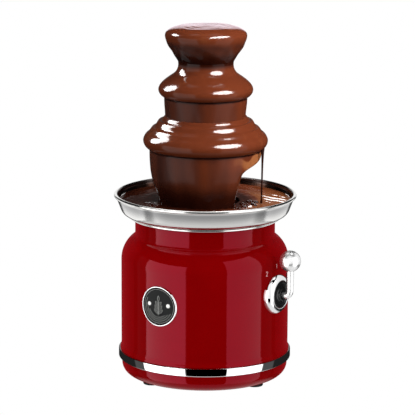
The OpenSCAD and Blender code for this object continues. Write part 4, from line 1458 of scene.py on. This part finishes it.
def ribbon(path: Array, width: float, tall: float, lay: Callable[[Array, Array], Array]) -> Grid:
    """Thin band along a flat path, laid on a surface and closed all round.

    The path is cut into short steps. At each point the band's section is a rectangle across the path, and a
    point in the middle of the section closes each end.

    Args:
        path: Points of the path.
        width: Width of the band.
        tall: Height of the band above the surface, of which it starts a little below.
        lay: Puts flat points, with their heights, on the surface.

    Returns:
        The band as a grid of four columns.
    """
    step, sunk = 0.3, -0.1
    length = np.concatenate([[0.0], np.cumsum(np.linalg.norm(np.diff(path, axis=0), axis=1))])
    at = np.linspace(0.0, length[-1], max(8, int(length[-1] / step)))
    dense = np.stack([np.interp(at, length, path[:, 0]), np.interp(at, length, path[:, 1])], axis=1)
    ahead = np.gradient(dense, axis=0)
    ahead /= np.linalg.norm(ahead, axis=1, keepdims=True)
    across = 0.5 * width * np.stack([-ahead[:, 1], ahead[:, 0]], axis=1)
    across = np.concatenate([0.0 * across[:1], across, 0.0 * across[:1]])
    dense = np.concatenate([dense[:1], dense, dense[-1:]])
    flat = np.stack([dense - across, dense + across, dense + across, dense - across], axis=1)
    above = np.tile([tall, tall, sunk, sunk], (len(dense), 1))
    above[[0, -1]] = 0.5 * (tall + sunk)
    return Grid(lay(flat, above))


@dataclass
class Badge:
    """Round badge on the front: chrome ring, black face with a plain printed pattern, and two lamps.

    Attributes:
        body_radius: Radius of the housing.
        face_height: Height of the printed face above the housing's wall.
        box: Box of the ring.
    """

    body_radius: float
    face_height: float = 0.78
    box: Box = field(default_factory=lambda: Box.of("badge_ring"))

    def build(self) -> None:
        """Build the badge's pieces."""
        self.ring()
        self.face()
        self.lamps()
        self.pattern()

    @property
    def radius(self) -> float:
        """Outer radius of the ring."""
        return self.box.half.z

    def lay(self, flat: Array, above: float | Array) -> Array:
        """Lay flat points, sideways and upwards from the badge's middle, on the housing's front.

        Args:
            flat: Points with a side and an up coordinate.
            above: Height above the housing's wall.

        Returns:
            Points on the badge.
        """
        x, up = flat[..., 0], flat[..., 1]
        y = -np.sqrt((self.body_radius + above) ** 2 - x**2)
        return np.stack([x, y, self.box.middle.z + up], axis=-1)

    def turned(self, outline: Array, segments: int = 128, middle: Point = (0.0, 0.0), **options: object) -> Grid:
        """Turn an outline of radius and height round an axis of the badge and bend it over the housing.

        Args:
            outline: Points of the outline, the height counted from the housing's wall.
            segments: Faces round the axis.
            middle: Place of the axis, sideways and upwards from the badge's middle.
            options: Further fields of the grid.

        Returns:
            The grid.
        """
        angle = full_turn(segments)
        flat = outline[:, :1, None] * circle(angle)[None] + np.array(middle)
        return Grid(self.lay(flat, outline[:, 1:] * np.ones_like(angle)), **options)

    def ring(self) -> None:
        """Half-round ring with a flat back."""
        half, back = 0.85, 0.05
        angle = np.linspace(0.0, math.pi, 13)
        outline = np.stack([self.radius - half + half * np.cos(angle), 0.6 + 1.15 * np.sin(angle)], axis=1)
        outline = np.concatenate([outline, [[self.radius - 2 * half, back], [self.radius, back]]])
        make_piece("badge_rim", [self.turned(outline, loop_rows=True)], Body.BASE, CHROME, ["badge_ring"])

    def face(self) -> None:
        """Black disc, slightly dished."""
        edge, back = self.radius - 1.5, 0.05
        dish = [[edge, 0.8], [0.75 * edge, 0.75], [0.4 * edge, 0.72], [0.0, 0.7]]
        outline = np.array([[0.0, back], [edge, back], *dish])
        make_piece("badge_disc", [self.turned(outline)], Body.BASE, DARK_FACE, ["badge_face"])

    def lamps(self) -> None:
        """Two small round domes beside the middle."""
        box = Box.of("lamp_lenses")
        size, back = box.half.z, -1.5
        side, up = box.high.x - size, box.middle.z - self.box.middle.z
        angle = np.radians(np.linspace(0.0, 90.0, 8))
        dome = np.stack([size * np.cos(angle), 0.8 + 0.7 * np.sin(angle)], axis=1)
        dome[-1, 0] = 0.0
        outline = np.concatenate([[[0.0, back], [size, back]], dome])
        grids = [self.turned(outline, 40, (x, up)) for x in (-side, side)]
        make_piece("badge_lamps", grids, Body.BASE, LENS, ["lamp_lenses"])

    def pattern(self) -> None:
        """Plain printed pattern: a sprig with three pairs of leaves and a top one, a thin circle and arcs inside it."""
        thin, bold, swell = 0.3, 0.4, 1.1
        arcs = ((17.6, 0.0, 360.0), (15.4, 150.0, 335.0), (13.4, 175.0, 325.0), (11.4, 200.0, 310.0))
        leaves = ((-7.5, 6.6, 52.0), (-3.2, 6.0, 48.0), (1.0, 5.2, 44.0), (5.0, 6.0, 0.0))
        paths = [(radius * circle(np.radians(np.linspace(first, last, 90))), thin) for radius, first, last in arcs]
        paths.append((np.array([[0.0, -9.5], [0.0, 5.0]]), bold))
        t = np.linspace(0.0, 1.0, 25)[:, None]
        for base, length, lean in leaves:
            for side in (-1.0, 1.0) if lean else (1.0,):
                ahead = np.array([side * math.sin(math.radians(lean)), math.cos(math.radians(lean))])
                across = np.array([ahead[1], -ahead[0]])
                for bulge in (-swell, swell):
                    leaf = t * length * ahead + bulge * np.sin(math.pi * t) * across
                    paths.append((leaf + np.array([0.0, base]), bold))
        grids = [ribbon(path, width, 0.06, lambda flat, above: self.lay(flat, self.face_height + above))
                 for path, width in paths]
        make_piece("badge_pattern", grids, Body.BASE, PRINT)


class LampShape(Enum):
    """Outlines of the studio's lamps, by Blender's names."""

    PANEL = "RECTANGLE"
    OVAL = "ELLIPSE"


@dataclass(frozen=True)
class StudioLamp:
    """A lamp of the studio.

    Attributes:
        name: Name of the lamp.
        group: Group of pieces that it lights.
        turn: Degrees to the camera's right.
        rise: Degrees above the horizon.
        size: Width and height in metres.
        power: Power in watts.
        shape: Outline of the lamp.
        colour: Colour of the light.
        mirrored: Whether the lamp is only mirrored, or only lights matt surfaces.
    """

    name: str
    group: str
    turn: float
    rise: float
    size: tuple[float, float]
    power: float
    shape: LampShape = LampShape.PANEL
    colour: Colour = WHITE
    mirrored: bool = True


RED_LIGHT: Colour = (1.0, 0.03, 0.06)
LILAC_LIGHT: Colour = (1.0, 0.9, 1.0)

LAMPS = (
    StudioLamp("key", "chocolate", 60.0, 34.0, (0.5, 0.5), 13.0, mirrored=False),
    StudioLamp("bar", "tiers", 48.0, 38.0, (0.75, 0.6), 125.0, LampShape.OVAL),
    StudioLamp("crest", "crown", 50.0, 54.0, (0.8, 0.42), 93.0, LampShape.OVAL),
    StudioLamp("panel", "tiers", -114.0, 29.0, (0.42, 0.62), 40.0, LampShape.OVAL),
    StudioLamp("corner", "crown", -114.0, 38.0, (0.36, 0.26), 17.0, LampShape.OVAL),
    StudioLamp("sky", "crown", 180.0, 12.0, (0.46, 0.4), 0.75, LampShape.OVAL, LILAC_LIGHT),
    StudioLamp("streak", "pool", 180.0, 16.0, (0.8, 0.13), 3.0),
    StudioLamp("spark", "pool", 20.0, 60.0, (0.7, 0.7), 36.0, LampShape.OVAL, LILAC_LIGHT),
    StudioLamp("front", "lever", -4.0, 22.0, (1.2, 1.9), 7.0),
    StudioLamp("side", "lever", 112.0, 8.0, (1.1, 1.4), 4.0),
    StudioLamp("left", "bowl", -121.0, -25.0, (0.9, 0.6), 1.9),
    StudioLamp("right", "bowl", 121.0, -25.0, (0.9, 0.6), 1.8),
    StudioLamp("top", "bowl", 0.0, 88.0, (1.6, 1.6), 10.0),
    StudioLamp("rear", "bowl", 180.0, 3.0, (1.0, 0.5), 1.5),
    StudioLamp("left_flag", "lacquer", -150.0, -6.0, (1.4, 1.2), 1.3, colour=RED_LIGHT),
    StudioLamp("right_flag", "lacquer", 150.0, -6.0, (1.4, 1.2), 1.3, colour=RED_LIGHT),
)

DARK, GREY, SOFT_BOX, BELOW = 0.006, 0.03, 2.5, 0.8  # Levels of the surroundings that mirrors show.
SIDE_STOPS: Stops = (
    (-107.0, DARK), (-105.0, GREY), (-88.0, GREY), (-87.0, 1.0), (-26.2, 1.0), (-25.2, 0.0),
    (29.8, 0.0), (30.8, 0.7), (83.5, 0.7), (84.5, GREY), (105.0, GREY), (107.0, DARK),
)
REAR_STOPS: Stops = (
    (-1.0, DARK), (0.5, 0.04), (9.0, 0.04), (10.0, 0.02), (13.0, 0.02), (13.7, 0.08), (17.5, 0.08), (18.5, DARK),
)
TOP_STOPS: Stops = (
    (-0.41, 0.0), (-0.39, 1.0), (-0.16, 1.0), (-0.14, 0.0), (0.03, 0.0), (0.05, 1.0), (0.4, 1.0), (0.42, 0.0),
)


@dataclass
class Studio:
    """White studio: floor, surroundings that the glossy parts mirror, lamps and camera.

    Attributes:
        view: Azimuth of the camera, in degrees from -Y towards +X.
        rise: Elevation of the camera in degrees.
        distance: Distance of the camera from its aim, in millimetres.
        scale: Millimetres to a pixel of the photograph at the tower's axis.
        frame: Pixels along a side of the photograph.
        aim_side: How far the picture's middle is to the right of the axis.
        aim_height: Height of the picture's middle.
        roll: Degrees by which the camera leans to its left.
        lamp_height: Height in metres that the lamps are aimed at.
        lamp_distance: Distance of the lamps from there, in metres.
    """

    view: float
    rise: float = 12.0
    distance: float = 2500.0
    scale: float = 1.043
    frame: float = 415.0
    aim_side: float = 2.4
    aim_height: float = 182.5
    roll: float = 0.3
    lamp_height: float = 0.28
    lamp_distance: float = 0.9

    def build(self, groups: dict[str, Sequence[bpy.types.Object]]) -> None:
        """Build the studio.

        Args:
            groups: Pieces with lamps of their own, by the name of their group.
        """
        self.floor()
        self.surroundings()
        self.lamps(groups)
        self.camera()
        bpy.context.scene.view_settings.view_transform = "Standard"

    def direction(self, turn: float, rise: float) -> Vector:
        """Unit vector from the object, by degrees to the camera's right and degrees above the horizon."""
        a, e = math.radians(self.view + turn), math.radians(rise)
        return Vector((math.sin(a) * math.cos(e), -math.cos(a) * math.cos(e), math.sin(e)))

    def floor(self) -> None:
        """White floor that only sends light back up, and is neither seen nor mirrored."""
        half = 4.0
        mesh = bpy.data.meshes.new("floor")
        mesh.from_pydata([(-half, -half, 0), (half, -half, 0), (half, half, 0), (-half, half, 0)], [], [(0, 1, 2, 3)])
        material = bpy.data.materials.new("floor_white")
        material.use_nodes = True
        NodeTree(material.node_tree).feed(material.node_tree.nodes["Principled BSDF"], {
            "Base Color": (0.35, 0.35, 0.35, 1.0), "Roughness": 1.0, "Specular IOR Level": 0.0,
            "Emission Color": (*WHITE, 1.0), "Emission Strength": 0.25,
        })
        mesh.materials.append(material)
        floor = bpy.data.objects.new("floor", mesh)
        floor.visible_glossy = floor.visible_camera = floor.visible_shadow = False
        bpy.context.scene.collection.objects.link(floor)

    def surroundings(self) -> None:
        """World of three parts: white for the camera, even light for matt surfaces, soft boxes for mirrors."""
        world = bpy.data.worlds.new("studio")
        bpy.context.scene.world = world
        world.use_nodes = True
        world.node_tree.nodes.clear()
        tree = NodeTree(world.node_tree)
        place = tree.add("TexCoord").outputs["Generated"]
        up = tree.add("SeparateXYZ", {0: place}).outputs[2]
        path = tree.add("LightPath")
        even = tree.math("MULTIPLY_ADD", up, 0.3, 1.0)
        seen = tree.mix(path.outputs["Is Glossy Ray"], even, self.mirrored(tree, place, up))
        level = tree.mix(path.outputs["Is Camera Ray"], seen, 1.0)
        background = tree.add("Background", {"Color": level, "Strength": 1.0})
        tree.add("OutputWorld", {"Surface": background.outputs[0]})

    def mirrored(
        self, tree: NodeTree, place: bpy.types.NodeSocket, up: bpy.types.NodeSocket
    ) -> bpy.types.NodeSocket:
        """Surroundings that mirrors show, by a direction's turn from the camera and its rise.

        The middle is dark. At each side is a bright soft box up to a top edge, with a grey strip beyond it,
        and it is dark behind. Straight behind, two faint strips lie on the horizon and above it, and two bright
        ones lie overhead. It is dark elsewhere above and grey below.

        Args:
            tree: Tree of the world.
            place: Socket with the direction.
            up: Socket with the direction's upward part.

        Returns:
            The level of light.
        """
        to_camera = tree.along(place, self.direction(0.0, 0.0))
        to_right = tree.along(place, self.direction(90.0, 0.0))
        turn = tree.math("MULTIPLY", tree.math("ARCTAN2", to_right, to_camera), 180.0 / math.pi)
        rise = tree.math("MULTIPLY", tree.math("ARCSINE", up), 180.0 / math.pi)
        left_top, right_top, rear_edge, overhead = 24.0, 46.0, 166.0, 0.9
        is_right = tree.math("GREATER_THAN", turn, 0.0)
        top = tree.math("MULTIPLY_ADD", is_right, right_top - left_top, left_top)
        shown = tree.math("SUBTRACT", top, rise, clamp=True)
        sides = tree.math("MULTIPLY", tree.scale(turn, 180.0, SIDE_STOPS), shown)
        behind = tree.math("LESS_THAN", to_camera, 0.0)
        above = tree.math("MULTIPLY", tree.math("GREATER_THAN", up, overhead), behind)
        strips = tree.math("MULTIPLY", tree.scale(to_right, 1.0, TOP_STOPS), above)
        boxes = tree.math("MULTIPLY", tree.math("MULTIPLY_ADD", strips, 0.8, sides), SOFT_BOX)
        rear = tree.math("MULTIPLY", tree.scale(rise, 90.0, REAR_STOPS), SOFT_BOX)
        is_rear = tree.math("GREATER_THAN", tree.math("ABSOLUTE", turn), rear_edge)
        down = tree.math("MULTIPLY", tree.math("SUBTRACT", -34.0, rise), 0.08, clamp=True)
        return tree.mix(down, tree.mix(is_rear, boxes, rear), BELOW)

    def lamps(self, groups: dict[str, Sequence[bpy.types.Object]]) -> None:
        """Light each group of pieces by its own lamps, most of which only mirror in it.

        Args:
            groups: Pieces that the lamps light, by the name of their group.
        """
        lit = {}
        for name, pieces in groups.items():
            lit[name] = bpy.data.collections.new(name + "_lit")
            bpy.context.scene.collection.children.link(lit[name])
            for piece in pieces:
                lit[name].objects.link(piece)
        aim = Vector((0.0, 0.0, self.lamp_height))
        for spec in LAMPS:
            data = bpy.data.lights.new(spec.name, "AREA")
            data.shape = spec.shape.value
            data.size, data.size_y = spec.size
            data.energy = spec.power
            data.color = spec.colour
            lamp = bpy.data.objects.new(spec.name, data)
            away = self.direction(spec.turn, spec.rise)
            lamp.location = aim + self.lamp_distance * away
            lamp.rotation_euler = away.to_track_quat("Z", "Y").to_euler()
            lamp.visible_camera = False
            lamp.visible_diffuse, lamp.visible_glossy = not spec.mirrored, spec.mirrored
            lamp.light_linking.receiver_collection = lit[spec.group]
            bpy.context.scene.collection.objects.link(lamp)

    def camera(self) -> None:
        """Camera at the photograph's angle, with a lens that gives its scale at the tower's axis."""
        data = bpy.data.cameras.new("camera")
        data.sensor_width = 36.0
        data.lens = data.sensor_width * self.distance / (self.frame * self.scale)
        data.clip_end = 50.0
        camera = bpy.data.objects.new("camera", data)
        back = self.direction(0.0, self.rise)
        aim = (self.direction(90.0, 0.0) * self.aim_side + Vector((0.0, 0.0, self.aim_height))) * MM
        stand = Matrix.Translation(aim + back * self.distance * MM)
        turned = back.to_track_quat("Z", "Y").to_matrix().to_4x4()
        camera.matrix_world = stand @ turned @ Matrix.Rotation(math.radians(self.roll), 4, "Z")
        bpy.context.scene.collection.objects.link(camera)
        bpy.context.scene.camera = camera


def dress_inner_nodes(nodes: dict[str, bpy.types.Object]) -> None:
    """Give the frame's own nodes their finishes.

    Args:
        nodes: The frame's nodes by name.
    """
    for finish, names in INNER_FINISHES.items():
        for name in names:
            mesh = nodes[name].data
            mesh.materials.clear()
            mesh.materials.append(finish.material())
            LOG.info("%s: %s", name, finish.slot)


def main() -> None:
    """Build the fountain and its studio."""
    logging.basicConfig(level=logging.INFO, format="%(message)s")
    view = 32.4
    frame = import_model()
    dress_inner_nodes(frame["nodes"])
    shells = Shells()
    shells.build()
    bowl = Bowl().build()
    chocolate = RunningChocolate(view)
    chocolate.build()
    selector = Selector(shells.body_radius)
    selector.build()
    Badge(shells.body_radius).build()
    flows = chocolate.pieces
    Studio(view).build({
        "chocolate": list(flows.values()), "crown": [flows["crown"]],
        "tiers": [flows["middle"], flows["lower"], flows["strand"]], "pool": [flows["pool"]],
        "lever": selector.pieces, "bowl": [bowl], "lacquer": shells.lacquered,
    })


if __name__ == "__main__":
    main()
